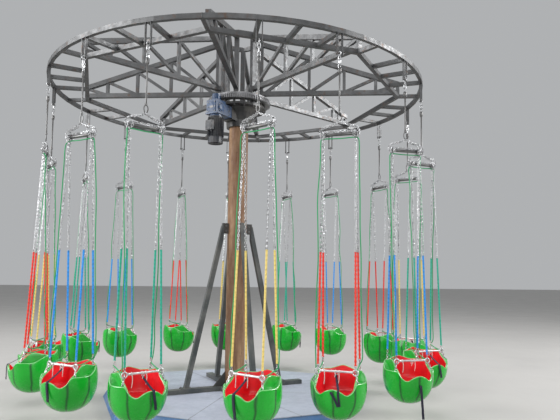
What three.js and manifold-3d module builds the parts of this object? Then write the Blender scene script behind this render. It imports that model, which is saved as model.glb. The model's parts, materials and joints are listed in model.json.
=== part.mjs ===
// A chair swing ride: sixteen round bucket seats hang on chains from a turning spreader
// on a single braced column, which stands on an eight-sided deck.
// Millimetres, +Z up, origin at the middle of the deck's underside, on the column's axis.
// Angles are in degrees from -Y (the near side) towards +X.

import * as THREE from "three";
import { mergeVertices } from "three/addons/utils/BufferGeometryUtils.js";
import Module from "manifold-3d";

const wasm = await Module();
wasm.setup();

// Driving dimensions
const GAP = 0.3;
const DECK_R = 1690;
const DECK_TOP = 120;
const DECK_LIP = 40;
const DECK_PLATE = 8;
const SKIRT_FOOT_R = 1750;
const SKIRT_THICK = 32;
const DECK_CORNER = 40;

const COLUMN_R = 130;
const COLUMN_TOP = 3650;
const COLUMN_SIDES = 24;

const FOOT_BEAM_W = 96;
const FOOT_BEAM_H = 56;
const FOOT_BEAM_R = 1000;
const FOOT_HUB_R = 220;
const FOOT_ANGLES = [-68, 22, 112, 202];
const FOOT_TOP = DECK_TOP + GAP + FOOT_BEAM_H;

const GUSSET_R = 300;
const GUSSET_H = 200;
const GUSSET_THICK = 14;

const BRACE_TUBE = 60;
const BRACE_FOOT_R = 665;
const LUG_R = 200;
const LUG_Z = 2260;
const LUG_H = 140;
const LUG_THICK = 50;
const PLATE_THICK = 12;

const HOUSING_TOP = 3930;
const FLANGE_R = 370;
const FLANGE_H = 30;
const SPACERS = 16;
const SPACER_W = 26;
const SPACER_IN = 322;
const SPACER_OUT = 360;
const PAD_R = 270;
const PAD_LOW = 3715;
const PAD_HIGH = 3890;

const DRIVE_ANGLE = -37;
const DRIVE_R = 500;
const GEARBOX_W = 176;
const GEARBOX_LOW = 3690;
const GEARBOX_HIGH = 3905;
const GEARBOX_NECK_R = 56;
const GEARBOX_TOP = 3995;
const MOTOR_R = 92;
const MOTOR_H = 350;

const SLEW_R = 430;
const SLEW_HOLE_R = 310;
const SLEW_LOW = 3968;
const SLEW_TOP = 4045;
const SLEW_SIDES = 48;

const CAGE_R = 300;
const CAGE_TOP = 4930;
const CAGE_TUBE = 60;
const CAGE_FOOT_OUT = 362;

const RIM_R = 2450;
const RIM_TOP = 4110;
const RIM_W = 42;
const RIM_H = 50;
const RIM_SIDES = 64;
const INNER_R = 2170;
const INNER_TUBE = 50;
const STUB_TUBE = 45;

const ARMS = 8;
const ARM_START = -8.5;
const ARM_STEP = 360 / ARMS;
const CORNER_SLANT = Math.cos(Math.PI / ARMS);
const ARM_CHORD = 60;
const ARM_WEB = 40;
const ARM_ROOT_Z = 4840;
const ARM_POSTS = [970, 1450, 1880, 2177];

const HANG_R = 2450;
const HANG_OFFSET = 12.67;
const PIVOT_Z = 3850;
const PIN_R = 8;
const PIN_SIDES = 8;
const STIRRUP_HALF = 30;
const EYE_R = 24;
const EYE_HOLE_R = 9.2;
const EYE_THICK = 16;

const DROP_ROD_R = 8;
const YOKE_TOP = 3170;
const BAR_TOP = 3050;
const BAR_H = 36;
const BAR_HALF = 172;
const CHAIN_W = 16;
const CHAIN_TOP_SIDE = 162;
const CHAIN_TOP_FRONT = 8;
// Where the chains meet the lap bar and the seat, from the seat's middle
const LAP_SIDE = 179;
const LAP_FRONT = 92;
const FOOT_SIDE = 203;
const FOOT_FRONT = 118;
const REAR_SIDE = 182;
const REAR_BACK = 122;
const REAR_FOOT_H = 447;
const LAP_BAR_R = 13;
const LAP_BAR_Z = 755;
const LAP_BAR_HALF = 200;

const SEAT_BOTTOM = 300;
const SEAT_FORWARD = 18;
const SEAT_R = 267;
const SEAT_BELT = 310;
const SEAT_DOME = 395;
const SEAT_FULLNESS = 2.3;
const SEAT_WALL = 22;
const SEAT_FLOOR = 200;
const TUB_HALF = 172;
const CREST_HALF = 200;
const SEAT_LUG_TOP = 392;
const SEAT_LUG_H = 45;
const SEAT_LUG_W = 30;

// Which way each seat has swivelled on its rod, in the order of the hangers
const FACING = [35.7, -41, -22.7, 10.1, 18, 140, 116, 122, 108, 90, 112, 140, 112, -60, -75, -32];

// The seat's rim from the front (0) round to the back (180): the angle, then the height above
// the seat's bottom of the outer lip and of the inner edge, which rises into the armrests
const RIM_LINE = [
  [0, 322, 322], [14, 306, 306], [29, 270, 270], [42, 300, 300], [51, 356, 358], [65, 362, 400],
  [80, 362, 452], [95, 368, 466], [112, 404, 454], [130, 436, 438], [148, 434, 434], [164, 452, 452],
  [180, 468, 468],
];

const bareSteel = new THREE.MeshStandardMaterial({ color: 0x6e6c69, roughness: 0.5, metalness: 0.8 });
const rustyPaint = new THREE.MeshStandardMaterial({ color: 0x8a6a4e, roughness: 0.75, metalness: 0.2 });
const darkPaint = new THREE.MeshStandardMaterial({ color: 0x4a4f50, roughness: 0.6, metalness: 0.3 });
const deckPaint = new THREE.MeshStandardMaterial({ color: 0xb4bac8, roughness: 0.6, metalness: 0.1 });
const skirtPaint = new THREE.MeshStandardMaterial({ color: 0x3a74b0, roughness: 0.5, metalness: 0.1 });
const housingPaint = new THREE.MeshStandardMaterial({ color: 0x23262a, roughness: 0.5, metalness: 0.4 });
const drivePaint = new THREE.MeshStandardMaterial({ color: 0x2f6ea0, roughness: 0.45, metalness: 0.2 });
const motorPaint = new THREE.MeshStandardMaterial({ color: 0x20242c, roughness: 0.5, metalness: 0.3 });
const slewSteel = new THREE.MeshStandardMaterial({ color: 0x8d8f92, roughness: 0.4, metalness: 0.8 });
const zinc = new THREE.MeshStandardMaterial({ color: 0xc6c8cc, roughness: 0.35, metalness: 0.9 });
const greenShell = new THREE.MeshStandardMaterial({ color: 0x2da032, roughness: 0.2, metalness: 0 });

// Shapes

function solidOf(geometry) {
  const plain = geometry.index ? geometry.toNonIndexed() : geometry.clone();
  plain.deleteAttribute("normal");
  plain.deleteAttribute("uv");
  const merged = mergeVertices(plain, 1e-3);
  return new wasm.Manifold(
    new wasm.Mesh({
      numProp: 3,
      vertProperties: merged.attributes.position.array,
      triVerts: new Uint32Array(merged.index.array),
    }),
  );
}

function geometryOf(solid) {
  const mesh = solid.getMesh();
  const geometry = new THREE.BufferGeometry();
  const positions = new Float32Array(mesh.vertProperties);
  geometry.setAttribute("position", new THREE.BufferAttribute(positions, 3));
  geometry.setIndex(new THREE.BufferAttribute(new Uint32Array(mesh.triVerts), 1));
  return geometry;
}

function fuse(geometries) {
  const solids = geometries.map(solidOf);
  return geometryOf(solids.reduce((whole, next) => whole.add(next)));
}

function common(a, b) {
  return geometryOf(solidOf(a).intersect(solidOf(b)));
}

// A box given by its lowest and highest corners
function block(low, high) {
  const size = high.map((value, i) => value - low[i]);
  const middle = high.map((value, i) => (value + low[i]) / 2);
  return new THREE.BoxGeometry(...size).translate(...middle);
}

// A rectangular bar between two points: width lies level, height is across it
function bar(from, to, width, height) {
  const start = new THREE.Vector3(...from);
  const end = new THREE.Vector3(...to);
  const along = end.clone().sub(start);
  const length = along.length();
  along.normalize();
  const upright = Math.abs(along.z) > 0.999;
  const up = upright ? new THREE.Vector3(0, 1, 0) : new THREE.Vector3(0, 0, 1);
  const across = up.clone().cross(along).normalize();
  const rise = along.clone().cross(across);
  const frame = new THREE.Matrix4().makeBasis(along, across, rise);
  frame.setPosition(start.add(end).multiplyScalar(0.5));
  return new THREE.BoxGeometry(length, width, height).applyMatrix4(frame);
}

// A round bar along X, Y or Z
function roundBar(axis, radius, from, to, sides, centre = [0, 0, 0]) {
  const geometry = new THREE.CylinderGeometry(radius, radius, to - from, sides);
  geometry.translate(0, (from + to) / 2, 0);
  if (axis === "x") geometry.rotateZ(-Math.PI / 2);
  if (axis === "z") geometry.rotateX(Math.PI / 2);
  return geometry.translate(...centre);
}

// A turned body about Z from radius and height pairs; corner turns its first facet corner
function turned(profile, sides, corner = 0) {
  const points = profile.map(([r, z]) => new THREE.Vector2(r, z));
  const geometry = new THREE.LatheGeometry(points, sides);
  return geometry.rotateX(Math.PI / 2).rotateZ(THREE.MathUtils.degToRad(corner));
}

// A plate cut to an outline in the X-Z plane, centred on Y
function platedXZ(outline, thickness, holes = []) {
  const shape = new THREE.Shape(outline.map(([x, z]) => new THREE.Vector2(x, z)));
  for (const hole of holes) shape.holes.push(new THREE.Path(hole));
  const geometry = new THREE.ExtrudeGeometry(shape, { depth: thickness, bevelEnabled: false });
  return geometry.translate(0, 0, -thickness / 2).rotateX(Math.PI / 2);
}

function polygon(radius, sides, centreZ = 0) {
  return Array.from({ length: sides }, (_, i) => {
    const a = ((i + 0.5) / sides) * 2 * Math.PI;
    return [radius * Math.cos(a), centreZ + radius * Math.sin(a)];
  });
}

function turnedBy(geometry, degrees) {
  return geometry.rotateZ(THREE.MathUtils.degToRad(degrees));
}

// Deck, column and drive, which stand still

function deck() {
  const inner = DECK_R - DECK_LIP;
  const profile = [[0, 0], [inner, 0], [inner, DECK_TOP - DECK_PLATE],
    [DECK_R, DECK_TOP - DECK_PLATE], [DECK_R, DECK_TOP], [0, DECK_TOP]];
  return turned(profile, 8, DECK_CORNER);
}

function skirt() {
  const inner = DECK_R - DECK_LIP + GAP;
  const top = DECK_TOP - DECK_PLATE - GAP;
  const profile = [[inner, 0], [SKIRT_FOOT_R, 0], [inner + SKIRT_THICK, top], [inner, top], [inner, 0]];
  return turned(profile, 8, DECK_CORNER);
}

function footCross() {
  const bottom = DECK_TOP + GAP;
  const hole = COLUMN_R + 2 * GAP;
  const hub = turned(
    [[hole, bottom], [FOOT_HUB_R, bottom], [FOOT_HUB_R, FOOT_TOP], [hole, FOOT_TOP], [hole, bottom]],
    COLUMN_SIDES,
  );
  const beams = FOOT_ANGLES.map((angle) => {
    const low = [-FOOT_BEAM_W / 2, -FOOT_BEAM_R, bottom];
    const high = [FOOT_BEAM_W / 2, -FOOT_HUB_R * 0.9, FOOT_TOP];
    return turnedBy(block(low, high), angle);
  });
  return fuse([hub, ...beams]);
}

function column() {
  const post = roundBar("z", COLUMN_R, DECK_TOP + GAP, COLUMN_TOP, COLUMN_SIDES);
  const pieces = [post];
  const standing = FOOT_TOP + GAP;
  for (const angle of FOOT_ANGLES) {
    const outline = [[COLUMN_R - 10, standing], [GUSSET_R, standing], [COLUMN_R - 10, standing + GUSSET_H]];
    pieces.push(turnedBy(platedXZ(outline, GUSSET_THICK), angle - 90));
    const low = [-LUG_THICK / 2, -LUG_R, LUG_Z - LUG_H / 2];
    const high = [LUG_THICK / 2, -COLUMN_R + 10, LUG_Z + LUG_H / 2];
    pieces.push(turnedBy(block(low, high), angle));
  }
  return fuse(pieces);
}

function brace() {
  const standing = FOOT_TOP + GAP;
  const seat = LUG_R + GAP;
  const below = [0, -BRACE_FOOT_R - 5, standing - 20];
  const tube = bar([0, -seat + 10, LUG_Z + 30], below, BRACE_TUBE, BRACE_TUBE);
  const room = block([-BRACE_TUBE, -FOOT_BEAM_R, standing], [BRACE_TUBE, -seat, LUG_Z + LUG_H / 2]);
  const head = block(
    [-LUG_THICK / 2, -seat - PLATE_THICK, LUG_Z - LUG_H / 2],
    [LUG_THICK / 2, -seat, LUG_Z + LUG_H / 2],
  );
  const foot = block(
    [-FOOT_BEAM_W / 2, -BRACE_FOOT_R - 75, standing],
    [FOOT_BEAM_W / 2, -BRACE_FOOT_R + 65, standing + PLATE_THICK],
  );
  return fuse([common(tube, room), head, foot]);
}

function bearingHousing() {
  const bottom = COLUMN_TOP + GAP;
  const flangeBottom = HOUSING_TOP - FLANGE_H;
  const profile = [[0, bottom], [168, bottom], [175, bottom + 90], [212, bottom + 180],
    [265, flangeBottom], [FLANGE_R, flangeBottom], [FLANGE_R, HOUSING_TOP], [0, HOUSING_TOP]];
  const half = GEARBOX_W / 2;
  const pad = turnedBy(block([-half, -PAD_R, PAD_LOW], [half, -100, PAD_HIGH]), DRIVE_ANGLE);
  const pieces = [turned(profile, COLUMN_SIDES), pad];
  for (let i = 0; i < SPACERS; i += 1) {
    const low = [-SPACER_W / 2, -SPACER_OUT, HOUSING_TOP - 5];
    const high = [SPACER_W / 2, -SPACER_IN, SLEW_LOW - GAP];
    pieces.push(turnedBy(block(low, high), (i + 0.5) * (360 / SPACERS)));
  }
  return fuse(pieces);
}

// The worm box: an arm bolts it to the housing's pad and its neck stands beside the slewing ring
function gearbox() {
  const half = GEARBOX_W / 2;
  const spigot = roundBar("z", MOTOR_R * 0.9, GEARBOX_LOW, GEARBOX_LOW + 60, 16, [0, -DRIVE_R, 0]);
  const flange = block(
    [-half - 10, -DRIVE_R - half - 10, GEARBOX_LOW + 28],
    [half + 10, -DRIVE_R + half + 10, GEARBOX_LOW + 50],
  );
  const body = block([-half, -DRIVE_R - half, GEARBOX_LOW + 45], [half, -DRIVE_R + half, GEARBOX_HIGH]);
  const arm = block([-half + 6, -DRIVE_R, PAD_LOW + 12], [half - 6, -PAD_R - GAP, PAD_HIGH - 12]);
  const neck = roundBar("z", GEARBOX_NECK_R, GEARBOX_HIGH - 5, GEARBOX_TOP, 16, [0, -DRIVE_R, 0]);
  return fuse([spigot, flange, body, arm, neck]);
}

function motor() {
  const top = GEARBOX_LOW - GAP;
  const flange = roundBar("z", MOTOR_R + 8, top - 16, top, 16, [0, -DRIVE_R, 0]);
  const barrel = roundBar("z", MOTOR_R, top - MOTOR_H, top - 8, 16, [0, -DRIVE_R, 0]);
  const cap = roundBar("z", MOTOR_R + 6, top - MOTOR_H, top - MOTOR_H + 80, 16, [0, -DRIVE_R, 0]);
  const terminals = block(
    [-50, -DRIVE_R - MOTOR_R - 45, top - 190],
    [50, -DRIVE_R - MOTOR_R + 20, top - 70],
  );
  return fuse([flange, barrel, cap, terminals]);
}

// Spreader, which turns on the column

function slewingRing() {
  const profile = [[SLEW_HOLE_R, SLEW_LOW], [SLEW_R, SLEW_LOW], [SLEW_R, SLEW_TOP],
    [SLEW_HOLE_R, SLEW_TOP], [SLEW_HOLE_R, SLEW_LOW]];
  return turned(profile, SLEW_SIDES);
}

function hubCage() {
  const bottom = SLEW_TOP + GAP;
  const half = CAGE_TUBE / 2;
  const foot = turned(
    [[CAGE_R - half, bottom], [CAGE_FOOT_OUT, bottom], [CAGE_FOOT_OUT, bottom + PLATE_THICK],
      [CAGE_R - half, bottom + PLATE_THICK], [CAGE_R - half, bottom]],
    16,
    ARM_START,
  );
  const pieces = [foot];
  for (let i = 0; i < ARMS; i += 1) {
    const low = [-half, -CAGE_R - half, bottom + 2];
    const high = [half, -CAGE_R + half, CAGE_TOP - 10];
    const angle = ARM_START + i * ARM_STEP;
    pieces.push(turnedBy(block(low, high), angle));
    const reach = CAGE_R * Math.sin(Math.PI / ARMS);
    const apothem = CAGE_R * Math.cos(Math.PI / ARMS);
    const tie = bar([-reach, -apothem, CAGE_TOP - half], [reach, -apothem, CAGE_TOP - half], 40, CAGE_TUBE);
    pieces.push(turnedBy(tie, angle + ARM_STEP / 2));
  }
  return fuse(pieces);
}

function armTopAt(radius) {
  const from = CAGE_R + CAGE_TUBE / 2;
  const share = (radius - from) / (RIM_R - from);
  return ARM_ROOT_Z + (RIM_TOP + ARM_CHORD - ARM_ROOT_Z) * share;
}

// An arm ends on a corner of the inner ring; stubs carry the round hoop beyond it
function spreaderArm() {
  const root = CAGE_R + CAGE_TUBE / 2 + GAP;
  const tip = INNER_R + INNER_TUBE / 2 / CORNER_SLANT;
  const chordBottom = RIM_TOP + GAP;
  const chordZ = chordBottom + ARM_CHORD / 2;
  const chordHalf = ARM_CHORD / 2;
  const pieces = [block([-chordHalf, -tip, chordBottom], [chordHalf, -root, chordBottom + ARM_CHORD])];
  const room = block([-ARM_CHORD, -tip, chordBottom], [ARM_CHORD, -root, CAGE_TOP]);
  const top = bar([0, -root + 40, armTopAt(root - 40)], [0, -RIM_R, armTopAt(RIM_R)], ARM_CHORD, ARM_CHORD);
  pieces.push(common(top, room));
  let inner = root + 30;
  for (const radius of ARM_POSTS) {
    const high = armTopAt(radius);
    const half = ARM_WEB / 2;
    pieces.push(block([-half, -radius - half, chordZ], [half, -radius + half, high]));
    pieces.push(bar([0, -inner, chordZ + 10], [0, -radius, high - 10], ARM_WEB - 2, ARM_WEB - 2));
    inner = radius;
  }
  return fuse(pieces);
}

// A quarter of the rim, from one arm to the next but one: its share of the round hoop and of the
// straight-sided inner ring, the stubs between them and four hanger brackets
function rimQuarter() {
  const room = block([GAP / 2, -RIM_R - RIM_W, PIVOT_Z], [RIM_R + RIM_W, -GAP / 2, RIM_TOP + GAP]);
  const ring = (inside, outside, height, sides) => {
    const low = RIM_TOP - height;
    const section = [[inside, low], [outside, low], [outside, RIM_TOP], [inside, RIM_TOP], [inside, low]];
    return common(turned(section, sides), room);
  };
  const half = ARM_STEP / 2;
  const lip = INNER_TUBE / 2 / CORNER_SLANT;
  const level = RIM_TOP - INNER_TUBE / 2;
  const pieces = [
    ring(RIM_R - RIM_W / 2, RIM_R + RIM_W / 2, RIM_H, RIM_SIDES),
    ring(INNER_R - lip, INNER_R + lip, INNER_TUBE, ARMS),
  ];
  for (const arm of [0, ARM_STEP, 2 * ARM_STEP]) {
    for (const turn of [0, HANG_OFFSET, half, ARM_STEP - HANG_OFFSET]) {
      if (arm + turn > 2 * ARM_STEP) break;
      const near = (INNER_R * CORNER_SLANT) / Math.cos(THREE.MathUtils.degToRad(turn - half));
      const stub = bar([0, -near, level], [0, -RIM_R, level], STUB_TUBE, STUB_TUBE);
      pieces.push(common(turnedBy(stub, arm + turn), room));
    }
  }
  for (const arm of [0, ARM_STEP]) {
    pieces.push(turnedBy(stirrup(), arm + HANG_OFFSET));
    pieces.push(turnedBy(stirrup(), arm + ARM_STEP - HANG_OFFSET));
  }
  return fuse(pieces);
}

// The hoop-shaped bracket under the rim whose cross pin carries one hanger
function stirrup() {
  const legs = [-1, 1].map((side) => {
    const x = side * STIRRUP_HALF;
    return block([x - 4, -HANG_R - 15, PIVOT_Z - 14], [x + 4, -HANG_R + 15, RIM_TOP - RIM_H + 10]);
  });
  const pin = roundBar("x", PIN_R, -STIRRUP_HALF, STIRRUP_HALF, PIN_SIDES, [0, -HANG_R, PIVOT_Z]);
  return fuse([...legs, pin]);
}

// Seats and their chains, drawn on the hanger's own axis with the front towards -Y

// A taut chain as a square bar, cut level where it meets the seat
function chainDown(top, foot) {
  const from = new THREE.Vector3(...top);
  const past = new THREE.Vector3(...foot).sub(from).setLength(CHAIN_W).add(new THREE.Vector3(...foot));
  const room = block([-HANG_R, -HANG_R, foot[2]], [HANG_R, HANG_R, top[2] + CHAIN_W]);
  return common(bar(top, past.toArray(), CHAIN_W, CHAIN_W), room);
}

function suspension(eyeTurn) {
  const hole = polygon(EYE_HOLE_R, PIN_SIDES).map(([x, z]) => new THREE.Vector2(x, z));
  const eye = platedXZ(polygon(EYE_R, PIN_SIDES), EYE_THICK, [hole]);
  eye.rotateZ(Math.PI / 2).translate(0, 0, PIVOT_Z);
  const rod = roundBar("z", DROP_ROD_R, YOKE_TOP - 30, PIVOT_Z - EYE_R + 6, 6);
  const yoke = platedXZ([[-85, BAR_TOP - 10], [85, BAR_TOP - 10], [16, YOKE_TOP], [-16, YOKE_TOP]], 20);
  const half = BAR_H / 2;
  const cross = block([-BAR_HALF, -half, BAR_TOP - BAR_H], [BAR_HALF, half, BAR_TOP]);
  const pieces = [turnedBy(eye, eyeTurn), rod, yoke, cross];
  const rearEnd = SEAT_BOTTOM + REAR_FOOT_H + 2 * GAP;
  const frontEnd = SEAT_BOTTOM + SEAT_LUG_TOP + 2 * GAP;
  for (const side of [-1, 1]) {
    const top = [side * CHAIN_TOP_SIDE, CHAIN_TOP_FRONT, BAR_TOP - BAR_H / 2];
    const rear = [side * REAR_SIDE, REAR_BACK - SEAT_FORWARD, rearEnd];
    pieces.push(chainDown(top, rear));
    top[1] = -CHAIN_TOP_FRONT;
    const ring = [side * LAP_SIDE, -LAP_FRONT - SEAT_FORWARD, LAP_BAR_Z];
    const foot = [side * FOOT_SIDE, -FOOT_FRONT - SEAT_FORWARD, frontEnd];
    const knee = [ring[0], ring[1], ring[2] + CHAIN_W];
    pieces.push(bar(top, ring, CHAIN_W, CHAIN_W), chainDown(knee, foot));
  }
  const lapPlace = [0, -LAP_FRONT - SEAT_FORWARD, LAP_BAR_Z];
  pieces.push(roundBar("x", LAP_BAR_R, -LAP_BAR_HALF, LAP_BAR_HALF, 6, lapPlace));
  return fuse(pieces);
}

// Outer radius of the shell at a height above its bottom
function shellRadius(height) {
  if (height > SEAT_BELT) return SEAT_R * Math.sqrt(1 - ((height - SEAT_BELT) / SEAT_DOME) ** 2);
  const drop = ((SEAT_BELT - height) / SEAT_BELT) ** SEAT_FULLNESS;
  return SEAT_R * Math.max(0, 1 - drop) ** (1 / SEAT_FULLNESS);
}

// A ring of points round the seat for one level of the strip below
function seatRing(level, [degrees, lip, edge]) {
  const across = Math.max(Math.sin(THREE.MathUtils.degToRad(degrees)), 1e-6);
  if (level.share !== undefined) return [shellRadius(lip * level.share), lip * level.share];
  const wall = shellRadius(lip) - SEAT_WALL;
  if (level.crest) return [Math.min(wall + SEAT_WALL / 2, CREST_HALF / across), lip + (edge - lip) * 0.94];
  return [Math.min(wall, TUB_HALF / across), level.floor ? SEAT_FLOOR : edge];
}

// The bowl is a strip wound round the seat: up the outer wall to the lip, over the crest of the
// rim to its inner edge, and down the inner wall to the floor
function seatBowl() {
  const levels = [{ share: 0.1 }, { share: 0.35 }, { share: 0.68 }, { share: 1 }, { crest: true }, {},
    { floor: true }];
  const line = [...RIM_LINE, ...RIM_LINE.slice(1, -1).reverse().map(([a, ...rest]) => [360 - a, ...rest])];
  const points = [0, 0, 0, 0, 0, SEAT_FLOOR];
  for (const level of levels) {
    for (const [degrees, ...heights] of line) {
      const [radius, height] = seatRing(level, [Math.min(degrees, 360 - degrees), ...heights]);
      const turn = THREE.MathUtils.degToRad(degrees);
      points.push(radius * Math.sin(turn), -radius * Math.cos(turn), height);
    }
  }
  const faces = [];
  const at = (row, i) => 2 + row * line.length + (i % line.length);
  const last = levels.length - 1;
  for (let i = 0; i < line.length; i += 1) {
    faces.push(0, at(0, i + 1), at(0, i), 1, at(last, i), at(last, i + 1));
    for (let row = 0; row < last; row += 1) {
      const [low, next, above, over] = [at(row, i), at(row, i + 1), at(row + 1, i), at(row + 1, i + 1)];
      faces.push(low, next, over, low, over, above);
    }
  }
  const geometry = new THREE.BufferGeometry();
  geometry.setAttribute("position", new THREE.BufferAttribute(new Float32Array(points), 3));
  return geometry.setIndex(faces);
}

function seat() {
  const pieces = [seatBowl()];
  const low = SEAT_LUG_TOP - SEAT_LUG_H;
  const half = SEAT_LUG_W / 2;
  const reach = Math.hypot(FOOT_SIDE, FOOT_FRONT) + SEAT_LUG_W / 2;
  for (const side of [-1, 1]) {
    const turn = THREE.MathUtils.radToDeg(Math.atan2(side * FOOT_SIDE, FOOT_FRONT));
    pieces.push(turnedBy(block([-half, -reach, low], [half, -reach + SEAT_LUG_W, SEAT_LUG_TOP]), turn));
  }
  return fuse(pieces).translate(0, -SEAT_FORWARD, SEAT_BOTTOM);
}

// Assembly

const ride = new THREE.Group();

function place(name, geometry, material, parent = ride) {
  const mesh = new THREE.Mesh(geometry, material);
  mesh.name = name;
  parent.add(mesh);
  return mesh;
}

place("deck", deck(), deckPaint);
place("deck_skirt", skirt(), skirtPaint);
place("foot_cross", footCross(), darkPaint);
place("column", column(), rustyPaint);
const braceShape = brace();
FOOT_ANGLES.forEach((angle, i) => {
  place(`brace_${i + 1}`, braceShape, darkPaint).rotation.z = THREE.MathUtils.degToRad(angle);
});
place("bearing_housing", bearingHousing(), housingPaint);
place("gearbox", gearbox(), drivePaint).rotation.z = THREE.MathUtils.degToRad(DRIVE_ANGLE);
place("motor", motor(), motorPaint).rotation.z = THREE.MathUtils.degToRad(DRIVE_ANGLE);

place("slewing_ring", slewingRing(), slewSteel);
place("hub_cage", hubCage(), bareSteel);
const armShape = spreaderArm();
for (let i = 0; i < ARMS; i += 1) {
  const arm = place(`arm_${i + 1}`, armShape, bareSteel);
  arm.rotation.z = THREE.MathUtils.degToRad(ARM_START + i * ARM_STEP);
}
const rimShape = rimQuarter();
for (let i = 0; i < 4; i += 1) {
  place(`rim_${i + 1}`, rimShape, bareSteel).rotation.z = THREE.MathUtils.degToRad(ARM_START + i * 90);
}

const seatShape = seat();
for (let i = 0; i < 2 * ARMS; i += 1) {
  const number = String(i + 1).padStart(2, "0");
  const angle = ARM_START + Math.floor(i / 2) * ARM_STEP + (i % 2 ? HANG_OFFSET : -HANG_OFFSET);
  const turn = THREE.MathUtils.degToRad(angle);
  const hanger = new THREE.Group();
  hanger.position.set(HANG_R * Math.sin(turn), -HANG_R * Math.cos(turn), 0);
  hanger.rotation.z = THREE.MathUtils.degToRad(FACING[i]);
  ride.add(hanger);
  place(`suspension_${number}`, suspension(angle - FACING[i]), zinc, hanger);
  place(`seat_${number}`, seatShape, greenShell, hanger);
}

export default ride;
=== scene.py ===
"""Chair swing ride: the looks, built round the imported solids, in metres with +Z up."""

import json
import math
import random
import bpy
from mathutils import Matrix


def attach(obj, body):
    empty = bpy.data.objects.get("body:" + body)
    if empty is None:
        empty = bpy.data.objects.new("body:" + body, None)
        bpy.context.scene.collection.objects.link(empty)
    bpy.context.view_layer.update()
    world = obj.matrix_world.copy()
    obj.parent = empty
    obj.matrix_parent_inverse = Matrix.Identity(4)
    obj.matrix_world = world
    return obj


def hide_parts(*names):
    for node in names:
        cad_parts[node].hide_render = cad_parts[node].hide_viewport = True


bl_info = {
    "name": "Chair Swing Ride",
    "version": (1, 0, 0),
    "blender": (4, 5, 0),
    "location": "3D View > Sidebar > Swing Ride",
    "description": "Dresses the solids of a chair swing ride with shells, chains, belts and finishes",
    "category": "Object",
}

import bmesh
import bpy
import numpy as np
from bpy.props import FloatProperty, FloatVectorProperty, IntProperty, PointerProperty
from mathutils import Matrix, Vector

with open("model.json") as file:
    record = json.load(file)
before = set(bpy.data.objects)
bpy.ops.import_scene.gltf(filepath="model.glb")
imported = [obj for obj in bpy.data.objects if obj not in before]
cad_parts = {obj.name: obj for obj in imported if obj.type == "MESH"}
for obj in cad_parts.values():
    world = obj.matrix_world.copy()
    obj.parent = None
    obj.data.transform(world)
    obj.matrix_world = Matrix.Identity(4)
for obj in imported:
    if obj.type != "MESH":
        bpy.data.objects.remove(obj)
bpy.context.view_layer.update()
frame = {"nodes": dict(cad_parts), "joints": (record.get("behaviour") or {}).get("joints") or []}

# Sizes and places of the solids, in metres and degrees
HANG_R = 2.45
HANG_OFFSET = 12.67
PIVOT_Z = 3.85
STIRRUP_HALF = 0.030
BAR_Z = 3.032
BAR_HALF = 0.172
LAP_Z = 0.755
ARM_START = -8.5
ARM_ROOT, ARM_REACH = 0.330, 2.120
ARM_TOP, ARM_DROP = 4.840, 0.670
ARM_POSTS = (0.970, 1.450, 1.880, 2.177)
CHORD_TOP = 4.1703
RIM_TOP, RIM_W, RIM_H = 4.110, 0.042, 0.050
FOOT_ANGLES = (-68, 22, 112, 202)
FOOT_TOP = 0.1763
PLATE = 0.0123
BRACE_FOOT_R = 0.665
COLUMN_R = 0.130
LUG_Z = 2.260
FLANGE_LOW = 3.900
SLEW_LOW, SLEW_TOP = 3.968, 4.045
DRIVE_ANGLE, DRIVE_R = -37, 0.500
GEARBOX_LOW, GEARBOX_HIGH = 3.690, 3.905
WORM_Z = 3.805
MOTOR_R, MOTOR_H = 0.092, 0.350
# Bolt circles of the column's foot, the housing's flange, the slewing ring and the cage
FOOT_BOLT_R, FLANGE_BOLT_R, SLEW_BOLT_R, CAGE_BOLT_R = 0.184, 0.341, 0.390, 0.348
SEAT_FORWARD = 0.018
SEAT_BOTTOM = 0.300
SEAT_R = 0.267
SEAT_BELT = 0.310
SEAT_DOME = 0.395
SEAT_FULLNESS = 2.3
TUB_HALF = 0.176
ARM_HALF = 0.197
PAN_H = 0.205
# Each seat's rim from the front (0) round to the back (180): angle, outer lip and inner edge
RIM_LINE = (
    (0, 0.322, 0.322), (14, 0.306, 0.306), (29, 0.270, 0.270), (42, 0.300, 0.300), (51, 0.356, 0.358),
    (65, 0.362, 0.400), (80, 0.362, 0.452), (95, 0.368, 0.466), (112, 0.404, 0.454), (130, 0.436, 0.438),
    (148, 0.434, 0.434), (164, 0.452, 0.452), (180, 0.468, 0.468),
)
# The angle that each chair faces as it hangs, counted from the front towards +X
FACING = (35.7, -41, -22.7, 10.1, 18, 140, 116, 122, 108, 90, 112, 140, 112, -60, -75, -32)

# Chains, sleeves, ropes and belts of one chair, from the point below its pivot
FRONT_CHAIN = ((0.162, -0.008, BAR_Z), (0.179, -0.110, LAP_Z))
FRONT_FOOT = (FRONT_CHAIN[1], (0.203, -0.136, 0.672))
REAR_CHAIN = ((0.162, 0.008, BAR_Z), (0.182, 0.104, 0.752))
STRAIGHT_TOP = 2.98
WRAP_X, WRAP_R = 0.142, 0.029
SLEEVE_ORDER = ("teal", "yellow", "red", "blue")
SLEEVE_TOP = 1.87
SLEEVE_LOW = (0.815, 0.852)
ROPE_R = 0.0056
ROPE_SEED = 100
# Half the width and half the thickness of the webbing, and how far each chair's belt hangs outside the seat
BELT_W, BELT_T = 0.011, 0.0017
BELT_TAILS = (0.165, 0.21, 0.135, 0.33, 0.15, 0.16, 0.20, 0.18,
              0.17, 0.15, 0.19, 0.17, 0.16, 0.20, 0.16, 0.18)
# Belts that come out through the shell, and the one whose two ends part
SLOTTED_BELTS = (3, 8, 13)
FORKED_BELT = 2
FORK_REACH = 0.054

# Directions
UP, DOWN, FRONT, REAR, ACROSS = (0, 0, 1), (0, 0, -1), (0, -1, 0), (0, 1, 0), (1, 0, 0)
# Edges of a solid that are sharper than these stay sharp, and are rounded off
SHARP_ANGLE, BEVEL_ANGLE = 35, 40


# Shapes

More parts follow.
